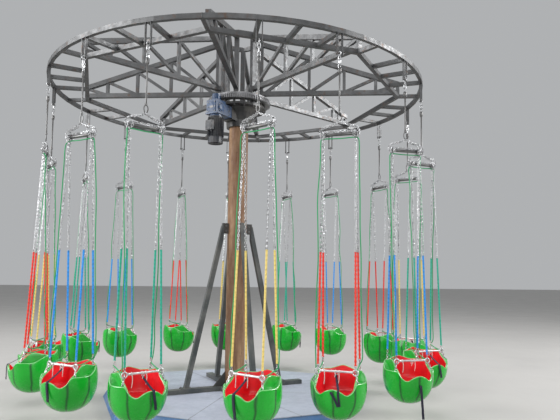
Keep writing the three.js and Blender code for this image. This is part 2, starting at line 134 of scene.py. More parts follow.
def unit(v):
    return v / max(np.linalg.norm(v), 1e-12)


def polar(radius, degrees, z):
    """The point at an angle that is counted from the front, -Y, towards +X."""
    turn = math.radians(degrees)
    return radius * math.sin(turn), -radius * math.cos(turn), z


def about_z(degrees):
    return Matrix.Rotation(math.radians(degrees), 4, "Z")


def pointing(way):
    """The turn that takes +Z to a direction."""
    return Vector(way).to_track_quat("Z", "Y").to_matrix().to_4x4()


class Shape:
    """Gathers skinned bodies into one mesh."""

    def __init__(self):
        self.points, self.faces, self.paint, self.uv = [], [], [], []
        self.count = 0

    def skin(self, rows, lengths, paint=0, closed=False):
        """Joins rows of points with faces. A row of one point closes to a tip.

        lengths run along the rows for the texture. paint is one number, or one for each band.
        """
        rows = [np.asarray(row, float).reshape(-1, 3) for row in rows]
        starts, total = [], len(rows)
        for row in rows:
            starts.append(self.count)
            self.count += len(row)
        self.points.extend(rows)
        for i in range(total if closed else total - 1):
            below, above = len(rows[i]), len(rows[(i + 1) % total])
            width = max(below, above)
            for j in range(width):
                corners = [(i, j), (i, j + 1), (i + 1, j + 1), (i + 1, j)]
                if below == 1:
                    corners = [(i, j + 0.5), (i + 1, j + 1), (i + 1, j)]
                elif above == 1:
                    corners = [(i, j), (i, j + 1), (i + 1, j + 0.5)]
                self.faces.append([starts[r % total] + int(c) % len(rows[r % total]) for r, c in corners])
                self.paint.append(paint if isinstance(paint, int) else paint[i])
                self.uv.extend((c / width, lengths[r]) for r, c in corners)
        return starts

    def cap(self, start, count, paint=0):
        self.faces.append(list(range(start, start + count)))
        self.paint.append(paint)
        self.uv.extend([(0.0, 0.0)] * count)

    def add(self, points, faces, matrix=None, paint=0):
        points = np.asarray(points, float)
        if matrix is not None:
            m = np.array(matrix)
            points = points @ m[:3, :3].T + m[:3, 3]
        self.points.append(points)
        for face in faces:
            self.faces.append([self.count + c for c in face])
            self.paint.append(paint)
            self.uv.extend([(0.0, 0.0)] * len(face))
        self.count += len(points)

    def mesh(self, name, finishes, sharp):
        """The mesh with its finishes. Edges sharper than this angle stay sharp."""
        made = bpy.data.meshes.new(name)
        made.from_pydata(np.concatenate(self.points).tolist(), [], self.faces)
        made.polygons.foreach_set("material_index", self.paint)
        layer = made.uv_layers.new(name="UVMap")
        layer.data.foreach_set("uv", np.asarray(self.uv, np.float32).ravel())
        for finish in finishes:
            made.materials.append(finish_of(finish))
        made.polygons.foreach_set("use_smooth", [True] * len(made.polygons))
        work = bmesh.new()
        work.from_mesh(made)
        bmesh.ops.recalc_face_normals(work, faces=work.faces)
        work.to_mesh(made)
        work.free()
        made.set_sharp_from_angle(angle=math.radians(sharp))
        made.update()
        return made


def circle(sides):
    a = np.arange(sides) * 2 * math.pi / sides
    return np.stack([np.cos(a), np.sin(a)], 1)


def sweep(shape, path, radius, sides=8, closed=False, normal=None, section=None, paint=0):
    """Runs a section along a path. radius is one number, or one for each point."""
    path = np.asarray(path, float)
    ring = circle(sides) if section is None else np.asarray(section, float)
    radius = np.broadcast_to(np.asarray(radius, float), (len(path),))
    tangent = np.roll(path, -1, 0) - np.roll(path, 1, 0) if closed else np.gradient(path, axis=0)
    if normal is None:
        normal = REAR if abs(unit(tangent[0])[0]) > 0.9 else ACROSS
    start = np.asarray(normal, float)
    rows = []
    for point, size, way in zip(path, radius, tangent):
        way = unit(way)
        start = unit(start - (start @ way) * way)
        rows.append(point + size * (ring[:, :1] * start + ring[:, 1:] * np.cross(way, start)))
    gaps = np.linalg.norm(np.diff(path, axis=0, append=path[:1]), axis=1)
    starts = shape.skin(rows, np.concatenate([[0], np.cumsum(gaps)]), paint, closed)
    if not closed:
        for end in (0, -1):
            shape.cap(starts[end], len(ring), paint)


def lathe(shape, profile, segments, centre=(0, 0, 0), axis="z"):
    """Turns radius and height pairs about the z or x axis through centre, with flat ends."""
    ring = circle(segments)
    rows = []
    for radius, height in profile:
        row = np.array([[0.0, 0.0, height]])
        if radius:
            row = np.column_stack([ring * radius, np.full(segments, height)])
        rows.append((row[:, [2, 0, 1]] if axis == "x" else row) + np.asarray(centre, float))
    starts = shape.skin(rows, [height for _, height in profile])
    for end in (0, -1):
        if profile[end][0]:
            shape.cap(starts[end], segments)


def soft_box(shape, low, high, bevel, matrix=None, paint=0):
    """A box with rounded edges."""
    work = bmesh.new()
    bmesh.ops.create_cube(work, size=1)
    size, middle = np.subtract(high, low), np.add(high, low) / 2
    for vertex in work.verts:
        vertex.co = Vector(np.array(vertex.co) * size + middle)
    bevel = min(bevel, float(min(size)) * 0.45)
    bmesh.ops.bevel(work, geom=work.edges[:], offset=bevel, segments=2, profile=0.5, affect="EDGES")
    work.verts.index_update()
    points = [tuple(v.co) for v in work.verts]
    faces = [[v.index for v in f.verts] for f in work.faces]
    work.free()
    shape.add(points, faces, matrix, paint)


def smooth_path(points, steps, closed=False):
    """A curve through the points, in so many steps from one to the next."""
    p = np.asarray(points, float)
    n = len(p)
    out = []
    for i in range(n if closed else n - 1):
        near = [k % n if closed else min(max(k, 0), n - 1) for k in range(i - 1, i + 3)]
        a, b, c, d = p[near]
        for t in np.arange(steps) / steps:
            out.append(0.5 * (2 * b + (c - a) * t + (2 * a - 5 * b + 4 * c - d) * t * t
                              + (3 * b - a - 3 * c + d) * t ** 3))
    if not closed:
        out.append(p[-1])
    return np.array(out)


def resample(path, spacing):
    """Points at an even spacing along a path, with the direction at each."""
    path = np.asarray(path, float)
    gaps = np.linalg.norm(np.diff(path, axis=0), axis=1)
    run = np.concatenate([[0], np.cumsum(gaps)])
    count = max(1, int(run[-1] / spacing))
    at = (np.arange(count) + 0.5) * run[-1] / count
    behind, points, ahead = (np.column_stack([np.interp(at + shift, run, line) for line in path.T])
                             for shift in (-1e-3, 0, 1e-3))
    return points, ahead - behind


def hex_bolt(shape, centre, size, up=UP, matrix=None, paint=0):
    """A hexagon head on a washer."""
    place = (matrix or Matrix()) @ Matrix.Translation(Vector(centre)) @ pointing(up)
    part = Shape()
    washer = ((0.95, 0), (0.95, 0.14), (0, 0.14))
    head = ((0.58, 0.14), (0.58, 0.6), (0.48, 0.68), (0, 0.68))
    for profile, sides in ((washer, 12), (head, 6)):
        lathe(part, [(size * r, size * h) for r, h in profile], sides)
    shape.add(np.concatenate(part.points), part.faces, place, paint)


def bolt_circle(shape, count, radius, z, size, start, up=UP, paint=0):
    """Bolts at even angles round the z axis, the first one at the angle start."""
    for k in range(count):
        hex_bolt(shape, polar(radius, start + 360 / count * k, z), size, up, paint=paint)


def weld(shape, path, radius, closed=True, matrix=None, seed=1):
    """A bead of weld along a path, slightly uneven. An open path is cut into short steps first."""
    draw = np.random.default_rng(seed)
    points = np.asarray(path, float)
    if not closed:
        points, _ = resample(points, radius * 4)
    bead = Shape()
    sweep(bead, points, radius * draw.uniform(0.75, 1.2, len(points)), 6, closed=closed)
    shape.add(np.concatenate(bead.points), bead.faces, matrix)


def around(angles, radius, z):
    """Points round the z axis. Radius and height are one number each, or one for each angle."""
    z = np.broadcast_to(z, len(angles))
    return np.column_stack([radius * np.sin(angles), -radius * np.cos(angles), z])


def ring_path(radius, z, steps=48):
    return around(np.arange(steps) * 2 * math.pi / steps, radius, z)


def hoop_path(centre, radius, steps, axis):
    """Points round an upright circle about a level axis, ACROSS or REAR."""
    a = np.arange(steps) * 2 * math.pi / steps
    level = np.outer(radius * np.cos(a), REAR if axis == ACROSS else ACROSS)
    return level + np.outer(radius * np.sin(a), UP) + centre


def wire_ring(shape, centre, radius, wire, steps, sides, axis=REAR, paint=0):
    sweep(shape, hoop_path(centre, radius, steps, axis), wire, sides, closed=True, normal=axis, paint=paint)


def box_path(half_x, half_y, z=0.0, middle=0.0):
    """Points round a rectangle at one height, with its middle on the y axis."""
    corners = [(-half_x, middle - half_y), (half_x, middle - half_y),
               (half_x, middle + half_y), (-half_x, middle + half_y)]
    steps = 5
    return np.array([(x0 + (x1 - x0) * k / steps, y0 + (y1 - y0) * k / steps, z)
                     for (x0, y0), (x1, y1) in zip(corners, corners[1:] + corners[:1]) for k in range(steps)])


def rim_height(degrees, column=1):
    """Height of a seat's rim above its bottom, smooth through the stated line."""
    a = abs((degrees + 180) % 360 - 180)
    line = [(knot[0], knot[column]) for knot in RIM_LINE]
    knots = [(-x, y) for x, y in line[2:0:-1]] + line + [(360 - x, y) for x, y in line[-2:-4:-1]]
    i = max(k for k in range(1, len(knots) - 2) if knots[k][0] <= a + 1e-9)
    (x0, y0), (x1, y1), (x2, y2), (x3, y3) = knots[i - 1:i + 3]
    t = (a - x1) / (x2 - x1)
    m1 = (y2 - y0) / (x2 - x0) * (x2 - x1)
    m2 = (y3 - y1) / (x3 - x1) * (x2 - x1)
    if (y2 - y1) * (y1 - y0) <= 0:
        m1 = 0
    if (y3 - y2) * (y2 - y1) <= 0:
        m2 = 0
    return ((2 * t ** 3 - 3 * t * t + 1) * y1 + (t ** 3 - 2 * t * t + t) * m1
            + (3 * t * t - 2 * t ** 3) * y2 + (t ** 3 - t * t) * m2)


def shell_radius(height):
    if height > SEAT_BELT:
        return SEAT_R * math.sqrt(max(0, 1 - ((height - SEAT_BELT) / SEAT_DOME) ** 2))
    drop = ((SEAT_BELT - height) / SEAT_BELT) ** SEAT_FULLNESS
    return SEAT_R * max(0, 1 - drop) ** (1 / SEAT_FULLNESS)


# Materials

class Finish:
    """A node material, built from a Principled shader outwards."""

    def __init__(self, **shader):
        self.material = bpy.data.materials.new("finish")
        self.material.use_nodes = True
        self.tree = self.material.node_tree
        self.shader = self.tree.nodes["Principled BSDF"]
        for key, value in shader.items():
            self.shader.inputs[key.replace("_", " ")].default_value = value

    def node(self, kind, inputs=None, **settings):
        made = self.tree.nodes.new(kind)
        for key, value in settings.items():
            setattr(made, key, value)
        for key, value in (inputs or {}).items():
            if isinstance(value, bpy.types.NodeSocket):
                self.tree.links.new(value, made.inputs[key])
            else:
                made.inputs[key].default_value = value
        return made

    def coords(self, scale=(1, 1, 1)):
        source = self.node("ShaderNodeTexCoord").outputs["Object"]
        return self.node("ShaderNodeMapping", {"Vector": source, "Scale": scale}).outputs["Vector"]

    def own_coords(self, far=37.0):
        """Object coordinates, moved on for each object so that like pieces differ."""
        number = self.node("ShaderNodeObjectInfo").outputs["Random"]
        shift = self.math("MULTIPLY", number, far)
        source = self.node("ShaderNodeTexCoord").outputs["Object"]
        return self.node("ShaderNodeVectorMath", {0: source, 1: shift}, operation="ADD").outputs[0]

    def around_and_along(self):
        """Turns round a piece, and metres along it."""
        uv = self.node("ShaderNodeTexCoord").outputs["UV"]
        return self.node("ShaderNodeSeparateXYZ", {"Vector": uv}).outputs[:2]

    def noise(self, vector, scale, detail, roughness=0.55):
        return self.node("ShaderNodeTexNoise", {"Vector": vector, "Scale": scale, "Detail": detail,
                                                "Roughness": roughness}).outputs["Fac"]

    def math(self, operation, a, b=0.5):
        return self.node("ShaderNodeMath", {0: a, 1: b}, operation=operation).outputs[0]

    def spread(self, value, low, high, to_low=0.0, to_high=1.0):
        return self.node("ShaderNodeMapRange", {"Value": value, "From Min": low, "From Max": high,
                                                "To Min": to_low, "To Max": to_high}).outputs["Result"]

    def mix(self, share, a, b):
        made = self.node("ShaderNodeMix", data_type="RGBA")
        for socket, value in zip((made.inputs[0], made.inputs[6], made.inputs[7]), (share, a, b)):
            if isinstance(value, bpy.types.NodeSocket):
                self.tree.links.new(value, socket)
            else:
                socket.default_value = value if isinstance(value, float) else (*value[:3], 1.0)
        return made.outputs[2]

    def bump(self, height, strength, distance=0.002):
        made = self.node("ShaderNodeBump", {"Height": height, "Strength": strength, "Distance": distance})
        self.tree.links.new(made.outputs["Normal"], self.shader.inputs["Normal"])

    def finished(self, color, roughness):
        self.tree.links.new(color, self.shader.inputs["Base Color"])
        self.tree.links.new(roughness, self.shader.inputs["Roughness"])
        return self.material


def shade(color, factor):
    return tuple(min(1.0, c * factor) for c in color[:3])


def shell_finish(settings):
    """Moulded shell with upright stripes, clouded and a little grimy."""
    f = Finish(Specular_IOR_Level=0.3, Coat_Weight=0.25, Coat_Roughness=0.06)
    around, _ = f.around_and_along()
    place = f.own_coords()
    wander = f.spread(f.noise(place, 5.0, 1.0), 0.3, 0.7, -0.06, 0.06)
    turns = f.math("ADD", f.math("MULTIPLY", around, float(settings.stripe_count)), wander)
    across = f.math("ABSOLUTE", f.math("SUBTRACT", f.math("FRACT", f.math("ADD", turns, 0.5)), 0.5))
    stripe = f.spread(across, 0.015, 0.090, 1.0, 0.0)
    patches = f.spread(f.noise(place, 3.0, 5.0), 0.35, 0.7)
    green = f.mix(patches, settings.shell_color, shade(settings.shell_color, 0.78))
    color = f.mix(f.math("MULTIPLY", stripe, 0.88), green, settings.stripe_color)
    grime = f.spread(f.noise(place, 14.0, 8.0, 0.7), 0.56, 0.75, 0.0, 0.35)
    color = f.mix(grime, color, shade(settings.shell_color, 0.5))
    rough = f.spread(f.noise(place, 22.0, 6.0), 0.3, 0.75, 0.16, 0.34)
    f.bump(f.math("ADD", f.noise(place, 120.0, 2.0), f.math("MULTIPLY", stripe, -1.5)), 0.12)
    return f.finished(color, rough)


def plain_finish(color, dark=0.75, rough=(0.25, 0.45), scale=12.0, bump=0.08, grain=90.0, **shader):
    """Paint or moulded plastic with cloudy colour, uneven gloss and a fine grain."""
    f = Finish(**shader)
    place = f.own_coords()
    cloud = f.spread(f.noise(place, scale, 6.0), 0.35, 0.7)
    roughness = f.spread(f.noise(place, scale * 2.3, 5.0), 0.3, 0.7, *rough)
    f.bump(f.noise(place, grain, 3.0), bump)
    return f.finished(f.mix(cloud, color, shade(color, dark)), roughness)


def worn_paint(color, under, wear=0.62, scale=5.0, rough=(0.35, 0.6)):
    """Paint that is chipped and scuffed down to what lies under it."""
    f = Finish()
    place = f.own_coords()
    cloud = f.spread(f.noise(place, scale, 6.0), 0.35, 0.7)
    chips = f.spread(f.noise(place, scale * 6, 9.0, 0.72), wear, wear + 0.04)
    dust = f.spread(f.noise(place, scale * 0.7, 3.0), 0.4, 0.75, 0.0, 0.35)
    worn = f.mix(dust, f.mix(cloud, color, shade(color, 0.72)), (0.30, 0.28, 0.25))
    roughness = f.spread(f.noise(place, scale * 4, 6.0), 0.3, 0.7, *rough)
    f.bump(f.math("SUBTRACT", f.noise(place, 70.0, 3.0), chips), 0.15)
    return f.finished(f.mix(chips, worn, under), roughness)


def bare_metal(color, rust=None, rough=(0.28, 0.5), scale=7.0, metallic=0.9, dark=0.6):
    """Bare steel or zinc: mottled, with rust where it is given. A low dark share turns the mottling into
    painted dark reflections, as on the chains' zinc.
    """
    f = Finish(Metallic=metallic)
    place = f.own_coords()
    cloud = f.spread(f.noise(place, scale, 7.0, 0.6), 0.3, 0.72)
    # Mottling at random; with a low dark share it is painted dark reflection and painted shade
    mottle_and_painted_reflection = f.mix(cloud, color, shade(color, dark))
    if rust:
        spots = f.spread(f.noise(place, scale * 2.6, 9.0, 0.68), 0.56, 0.68, 0.0, 0.55)
        mottle_and_painted_reflection = f.mix(spots, mottle_and_painted_reflection, rust)
    roughness = f.spread(f.noise(place, scale * 3, 6.0), 0.3, 0.7, *rough)
    f.bump(f.noise(place, 60.0, 5.0), 0.12)
    return f.finished(mottle_and_painted_reflection, roughness)


def column_finish(settings):
    """Brown primer with rust that has run down, and dark paint on the gussets and lugs."""
    f = Finish(Metallic=0.1)
    outward = f.node("ShaderNodeVectorMath", {0: f.coords((1, 1, 0))}, operation="LENGTH")
    fittings = f.spread(outward.outputs["Value"], COLUMN_R + 0.003, COLUMN_R + 0.006)
    down, place = f.coords((1, 1, 0.12)), f.coords()
    streaks = f.spread(f.noise(down, 26.0, 6.0, 0.6), 0.36, 0.66)
    broad = f.spread(f.noise(down, 7.0, 3.0), 0.4, 0.62)
    color = f.mix(broad, settings.column_color, (0.36, 0.22, 0.12))
    color = f.mix(f.math("MULTIPLY", streaks, 0.7), color, (0.12, 0.045, 0.02))
    spots = f.spread(f.noise(place, 40.0, 8.0, 0.7), 0.6, 0.68, 0.0, 0.8)
    color = f.mix(spots, color, (0.05, 0.03, 0.02))
    color = f.mix(f.math("MULTIPLY", fittings, 0.9), color, shade(settings.brace_color, 0.8))
    rough = f.spread(f.noise(place, 18.0, 5.0), 0.3, 0.7, 0.45, 0.8)
    f.bump(f.math("ADD", f.noise(place, 50.0, 6.0), streaks), 0.2)
    return f.finished(color, rough)


def sleeve_finish(color, pitch):
    """Soft plastic tube drawn over a chain, darker where the links press through."""
    f = Finish(Coat_Weight=0.12, Coat_Roughness=0.25)
    _, along = f.around_and_along()
    wave = f.math("SINE", f.math("MULTIPLY", along, math.pi / pitch))
    place = f.own_coords()
    patchy = f.math("ADD", wave, f.spread(f.noise(place, 60.0, 3.0), 0.3, 0.7, -0.8, 0.8))
    dark = f.spread(patchy, 0.1, 1.3, 0.0, 0.45)
    rough = f.spread(f.noise(place, 40.0, 4.0), 0.3, 0.7, 0.22, 0.42)
    f.bump(f.noise(place, 150.0, 2.0), 0.08, 0.001)
    return f.finished(f.mix(dark, color, shade(color, 0.45)), rough)


def woven_finish(color, across, along, rough=0.75, strength=0.5, sheen=0.3):
    """Rope or webbing: strands that cross round and along it, darker in the grooves between them as painted
    shade.
    """
    f = Finish(Sheen_Weight=sheen)
    u, v = (f.math("MULTIPLY", part, strands * 2 * math.pi)
            for part, strands in zip(f.around_and_along(), (across, along)))
    weave = f.math("MAXIMUM", f.math("SINE", f.math("ADD", u, v)), f.math("SINE", f.math("SUBTRACT", u, v)))
    cloud = f.spread(f.noise(f.own_coords(), 30.0, 4.0), 0.3, 0.7, 0.0, 0.5)
    # Painted shade: darker where the weave sinks between the strands
    tint = f.mix(f.spread(weave, -0.6, 1.0), shade(color, 0.55), color)
    f.bump(weave, strength, 0.0015)
    return f.finished(f.mix(cloud, tint, shade(color, 0.7)), f.spread(weave, -1.0, 1.0, rough, rough - 0.2))


def deck_finish(settings):
    """Scuffed deck paint, with a dark joint between its eight plates."""
    f = Finish()
    place = f.coords()
    parts = f.node("ShaderNodeSeparateXYZ", {"Vector": place})
    cloud = f.spread(f.noise(place, 3.0, 6.0), 0.35, 0.7)
    scuffs = f.spread(f.noise(f.coords((1, 6, 1)), 8.0, 9.0, 0.7), 0.56, 0.72, 0.0, 0.6)
    turn = f.math("ARCTAN2", parts.outputs[1], parts.outputs[0])
    sector = f.math("FRACT", f.math("ADD", f.math("MULTIPLY", turn, 4 / math.pi), 0.389))
    seam = f.math("MULTIPLY", f.math("ABSOLUTE", f.math("SUBTRACT", sector, 0.5)), 2.0)
    radius = f.node("ShaderNodeVectorMath", {0: place}, operation="LENGTH").outputs["Value"]
    width = f.math("DIVIDE", 0.012, f.math("MAXIMUM", radius, 0.2))
    joint = f.math("GREATER_THAN", seam, f.math("SUBTRACT", 1.0, width))
    color = f.mix(cloud, settings.deck_color, shade(settings.deck_color, 0.8))
    color = f.mix(scuffs, color, (0.22, 0.22, 0.23))
    color = f.mix(f.math("MULTIPLY", joint, 0.8), color, (0.06, 0.06, 0.065))
    rough = f.spread(f.noise(place, 12.0, 6.0), 0.3, 0.7, 0.3, 0.6)
    f.bump(f.math("SUBTRACT", f.noise(place, 45.0, 4.0), f.math("MULTIPLY", joint, 3.0)), 0.25, 0.003)
    return f.finished(color, rough)


FINISHES = {}


def finish_of(name):
    """The named material, made when it is first asked for."""
    if name in FINISHES:
        return FINISHES[name]
    scene = bpy.context.scene
    seat, hanger, steel = scene.ride_seats, scene.ride_hangers, scene.ride_steel
    rust, bare = (0.13, 0.065, 0.035), (0.2, 0.2, 0.2)
    makers = {
        "green_shell": lambda: shell_finish(seat),
        "green_inside": lambda: plain_finish(seat.shell_color, 0.7, Coat_Weight=0.3),
        # The rim's finish is a lighter green than the shell: a painted highlight along the glossy lip and the
        # armrests' tops
        "pale_edge": lambda: plain_finish(seat.lip_highlight_color, 0.8, (0.10, 0.22), Coat_Weight=1.0),
        "red_liner": lambda: plain_finish(seat.liner_color, 0.72, (0.28, 0.5), 8.0, 0.12, 140.0,
                                          Coat_Weight=0.2),
        # Chain zinc: its cloud falls to 0.12 of the colour, dark patches that are painted reflections and
        # painted shade between the links
        "zinc": lambda: bare_metal((0.92, 0.93, 0.95), None, (0.18, 0.36), 45.0, 0.85, 0.12),
        "bright_zinc": lambda: bare_metal((0.82, 0.83, 0.85), None, (0.25, 0.45), 20.0, 0.6),
        "dull_zinc": lambda: bare_metal((0.20, 0.20, 0.20), rust, (0.3, 0.5), 20.0),
        "rope": lambda: woven_finish(hanger.rope_color, 3.0, 70.0, sheen=0.05),
        "cord": lambda: woven_finish((0.80, 0.79, 0.75), 3.0, 90.0),
        "belt": lambda: woven_finish(hanger.belt_color, 18.0, 300.0, 0.8, 0.3, 0.02),
        "mill_steel": lambda: bare_metal(steel.spreader_color, rust, (0.38, 0.6), 6.0, 0.8),
        "bearing_steel": lambda: bare_metal((0.30, 0.30, 0.31), (0.1, 0.08, 0.06), (0.4, 0.6)),
        "column_paint": lambda: column_finish(steel),
        "dark_paint": lambda: worn_paint(steel.brace_color, (0.22, 0.20, 0.18)),
        "black_paint": lambda: worn_paint((0.018, 0.019, 0.021), (0.12, 0.10, 0.09), 0.64, 6.0, (0.3, 0.5)),
        "drive_paint": lambda: worn_paint(steel.drive_color, bare, 0.66, 7.0, (0.25, 0.42)),
        "motor_paint": lambda: worn_paint((0.022, 0.026, 0.036), bare, 0.66, 7.0, (0.3, 0.5)),
        "deck_paint": lambda: deck_finish(steel),
        "skirt_paint": lambda: worn_paint(steel.skirt_color, (0.3, 0.3, 0.3), 0.63, 4.0),
        "floor": lambda: plain_finish(scene.ride_stage.floor_color, 0.94, (0.5, 0.7), 0.6, 0.02, 30.0),
    }
    for tint in SLEEVE_ORDER:
        color = getattr(hanger, tint + "_sleeve")
        makers["sleeve_" + tint] = lambda color=color: sleeve_finish(color, hanger.chain_pitch)
    FINISHES[name] = makers[name]()
    FINISHES[name].name = name
    return FINISHES[name]


# Placing pieces

class Chair:
    """One hanging seat: its number, its body, and its place as it faces and as its pin lies."""

    def __init__(self, joint):
        self.number = joint["name"][-2:]
        self.index = int(self.number) - 1
        self.body = joint["child"]
        x, y, _ = joint["pos_m"]
        foot = Matrix.Translation((x, y, 0))
        self.matrix = foot @ about_z(FACING[self.index])
        self.radial = foot @ Matrix.Rotation(math.atan2(x, -y), 4, "Z")


SWINGS = [joint for joint in frame["joints"] if joint["name"].startswith("swing_")]
CHAIRS = sorted((Chair(joint) for joint in SWINGS), key=lambda chair: chair.number)


def put(name, mesh, body, matrix=None, stands_for=()):
    """Links a piece, rides it on its body and hides the solids that it stands for."""
    piece = bpy.data.objects.new(name, mesh)
    bpy.context.scene.collection.objects.link(piece)
    if matrix is not None:
        piece.matrix_world = matrix
    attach(piece, body)
    if stands_for:
        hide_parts(*stands_for)


def hang(name, mesh, chair, stands_for=()):
    """Puts a piece on a chair, turned as the chair faces."""
    put(name + chair.number, mesh, chair.body, chair.matrix, stands_for)


def dress(node, finish, bevel=0.0):
    """Gives a solid its finish, smooth where it is round."""
    piece = frame["nodes"][node]
    piece.data.materials.clear()
    piece.data.materials.append(finish_of(finish))
    piece.data.polygons.foreach_set("use_smooth", [True] * len(piece.data.polygons))
    piece.data.set_sharp_from_angle(angle=math.radians(SHARP_ANGLE))
    if bevel:
        rounding = piece.modifiers.new("edges", "BEVEL")
        rounding.width = bevel
        rounding.segments = 2
        rounding.limit_method = "ANGLE"
        rounding.angle_limit = math.radians(BEVEL_ANGLE)
    evening = piece.modifiers.new("normals", "WEIGHTED_NORMAL")
    evening.keep_sharp = True


# Seats

# EDGE marks the lip and the armrests' tops, which get the lighter rim green as a painted highlight
SHELL, EDGE, INSIDE, LINER = range(4)


def seat_shell():
    """The round bucket: striped outer wall, a lip, two armrests and the red tub between them; the lip and the
    armrests' tops are lighter green, a painted highlight.
    """
    segments = 120
    degrees = np.arange(segments) * 360 / segments
    angles = np.radians(degrees)
    lip = np.array([rim_height(d) for d in degrees])
    crest = np.maximum(np.array([rim_height(d, 2) for d in degrees]), lip) - 0.002
    outside = np.array([shell_radius(h) for h in lip])
    across = np.maximum(np.abs(np.sin(angles)), 1e-6)
    bead, inset, corner = 0.0075, 0.0025, 0.05
    inner_lip = outside - 2 * bead
    arm_out = np.minimum(inner_lip - 0.0005, ARM_HALF / across)
    arm_in = np.minimum(inner_lip - 0.0030, TUB_HALF / across)
    rows, paint = [np.zeros((1, 3))], []

    def row(radius, height, finish):
        rows.append(around(angles, radius, height))
        paint.append(finish)

    # Outer wall and lip, the lip lighter green as a painted highlight
    for step in range(1, 18):
        heights = (lip - bead) * (0.94 * (step / 17) ** 1.5)
        row(np.array([shell_radius(h) for h in heights]), heights, SHELL)
    for k in range(7):
        a = math.pi * k / 6
        row(outside - bead + bead * math.cos(a), lip - bead + bead * math.sin(a), EDGE if k else SHELL)
    # Shelf behind the lip, and the armrests that rise from it, their tops lighter green as a painted
    # highlight
    shelf = lip - bead - 0.0008
    row(np.maximum(inner_lip - 0.0002, arm_out + 0.0002), shelf, INSIDE)
    row(arm_out + 0.0001, shelf, INSIDE)
    thick = (arm_out - arm_in) / 2
    rise = np.minimum(thick, 0.008)
    top = np.maximum(crest - rise, shelf + 0.0006)
    for share in (0.3, 0.65, 1.0):
        row(arm_out, shelf + (top - shelf) * share, INSIDE)
    for k in range(1, 6):
        a = math.pi * k / 6
        row(arm_out - thick + thick * math.cos(a), top + rise * math.sin(a), EDGE)
    row(arm_in, top, EDGE)
    # Tub: its edge, its walls, and the round corner to the pan
    seam = np.minimum(top - 0.004, 0.360)
    for share in (0.15, 0.4, 0.7, 1.0):
        row(arm_in - inset * min(1, share * 3), top + (seam - top) * share, LINER)
    base = PAN_H + 0.055
    for share in (0.02, 0.3, 0.6, 1.0):
        row(arm_in - inset, seam + (base - seam) * share, LINER)
    for k in range(1, 6):
        a = math.pi / 2 * k / 5
        row(arm_in - inset - corner * (1 - math.cos(a)), PAN_H + 0.012 + 0.043 * (1 - math.sin(a)), LINER)
    for share, height in ((0.8, 0.008), (0.5, 0.002), (0.25, 0.0)):
        row((arm_in - (inset + corner)) * share, PAN_H + height, LINER)
    rows.append(np.array([[0.0, 0.0, PAN_H]]))
    paint.append(LINER)
    shape = Shape()
    shift = np.array([0, -SEAT_FORWARD, SEAT_BOTTOM])
    shape.skin([r + shift for r in rows], range(len(rows)), paint)
    return shape.mesh("seat_shell", ("green_shell", "pale_edge", "green_inside", "red_liner"), 60)


# Hangers

def chain_link(pitch, wire, outer):
    """One welded link along Z."""
    bend = (outer - wire) / 2
    reach = (pitch + wire) / 2 - bend
    path = []
    for side in (1, -1):
        for k in range(4):
            a = math.pi * (k + 0.5) / 4
            path.append((bend * math.cos(a) * side, 0, side * reach + side * bend * math.sin(a)))
    shape = Shape()
    sweep(shape, path, wire / 2, 5, closed=True, normal=REAR)
    return np.concatenate(shape.points), shape.faces


def chain_along(shape, path, link, pitch, offset):
    """Links in line along a path, each a quarter turn from the last."""
    for i, (centre, way) in enumerate(zip(*resample(path, pitch))):
        roll = about_z(45 + 90 * ((i + offset) % 2))
        shape.add(*link, Matrix.Translation(Vector(centre)) @ pointing(way) @ roll)


def along(line, z):
    """The point of a straight chain at a height."""
    top, low = np.array(line[0]), np.array(line[1])
    return top + (low - top) * (top[2] - z) / (top[2] - low[2])


def mirrored(point, side):
    return np.array([point[0] * side, point[1], point[2]])


def chains_mesh(hanger):
    """Four chains: over and round the spreader bar, down to the seat, and an eye bolt at each foot."""
    pitch = hanger.chain_pitch
    link = chain_link(pitch, hanger.chain_wire, hanger.chain_width)
    shape = Shape()
    for side in (-1, 1):
        for number, line in enumerate((FRONT_CHAIN, REAR_CHAIN)):
            y = line[0][1]
            over = [(side * x, y * out, z) for x, out, z in (
                (0, 0.5, 3.164), (0.050, 1.2, 3.138), (0.105, 1.8, 3.120), (0.155, 2.1, 3.108),
                (0.187, 2.2, 3.080), (0.190, 2.2, 3.036))]
            over.append(mirrored(along(line, STRAIGHT_TOP), side))
            chain_along(shape, smooth_path(over, 6), link, pitch, number)
            bed = [(side * x, y * out, BAR_Z + rise)
                   for x, out, rise in ((0.012, 2, 0.028), (0.090, 2.6, 0.025), (0.172, 2.4, 0.020))]
            chain_along(shape, smooth_path(bed, 4), link, pitch, number + 1)
            wrap = hoop_path((side * (WRAP_X + 0.012 * number), 0, BAR_Z), WRAP_R, 24, ACROSS)
            chain_along(shape, [*wrap, wrap[0]], link, pitch, number)
            legs = [(along(line, STRAIGHT_TOP), along(line, SLEEVE_TOP)),
                    (along(line, SLEEVE_LOW[number] + 0.006), line[1])]
            if line is FRONT_CHAIN:
                legs.append(FRONT_FOOT)
            for high, low in legs:
                chain_along(shape, [mirrored(high, side), mirrored(low, side)], link, pitch, number)
            foot = mirrored(legs[-1][1], side)
            wire_ring(shape, foot - (0, 0, 0.006), 0.011, 0.0042, 10, 6)
            lathe(shape, [(0.004, -0.032), (0.004, -0.022), (0.0145, -0.022), (0.0145, -0.0185),
                          (0.005, -0.0165), (0.005, -0.012), (0, -0.012)], 10, foot)
    return shape.mesh("chains", ["zinc"], 70)


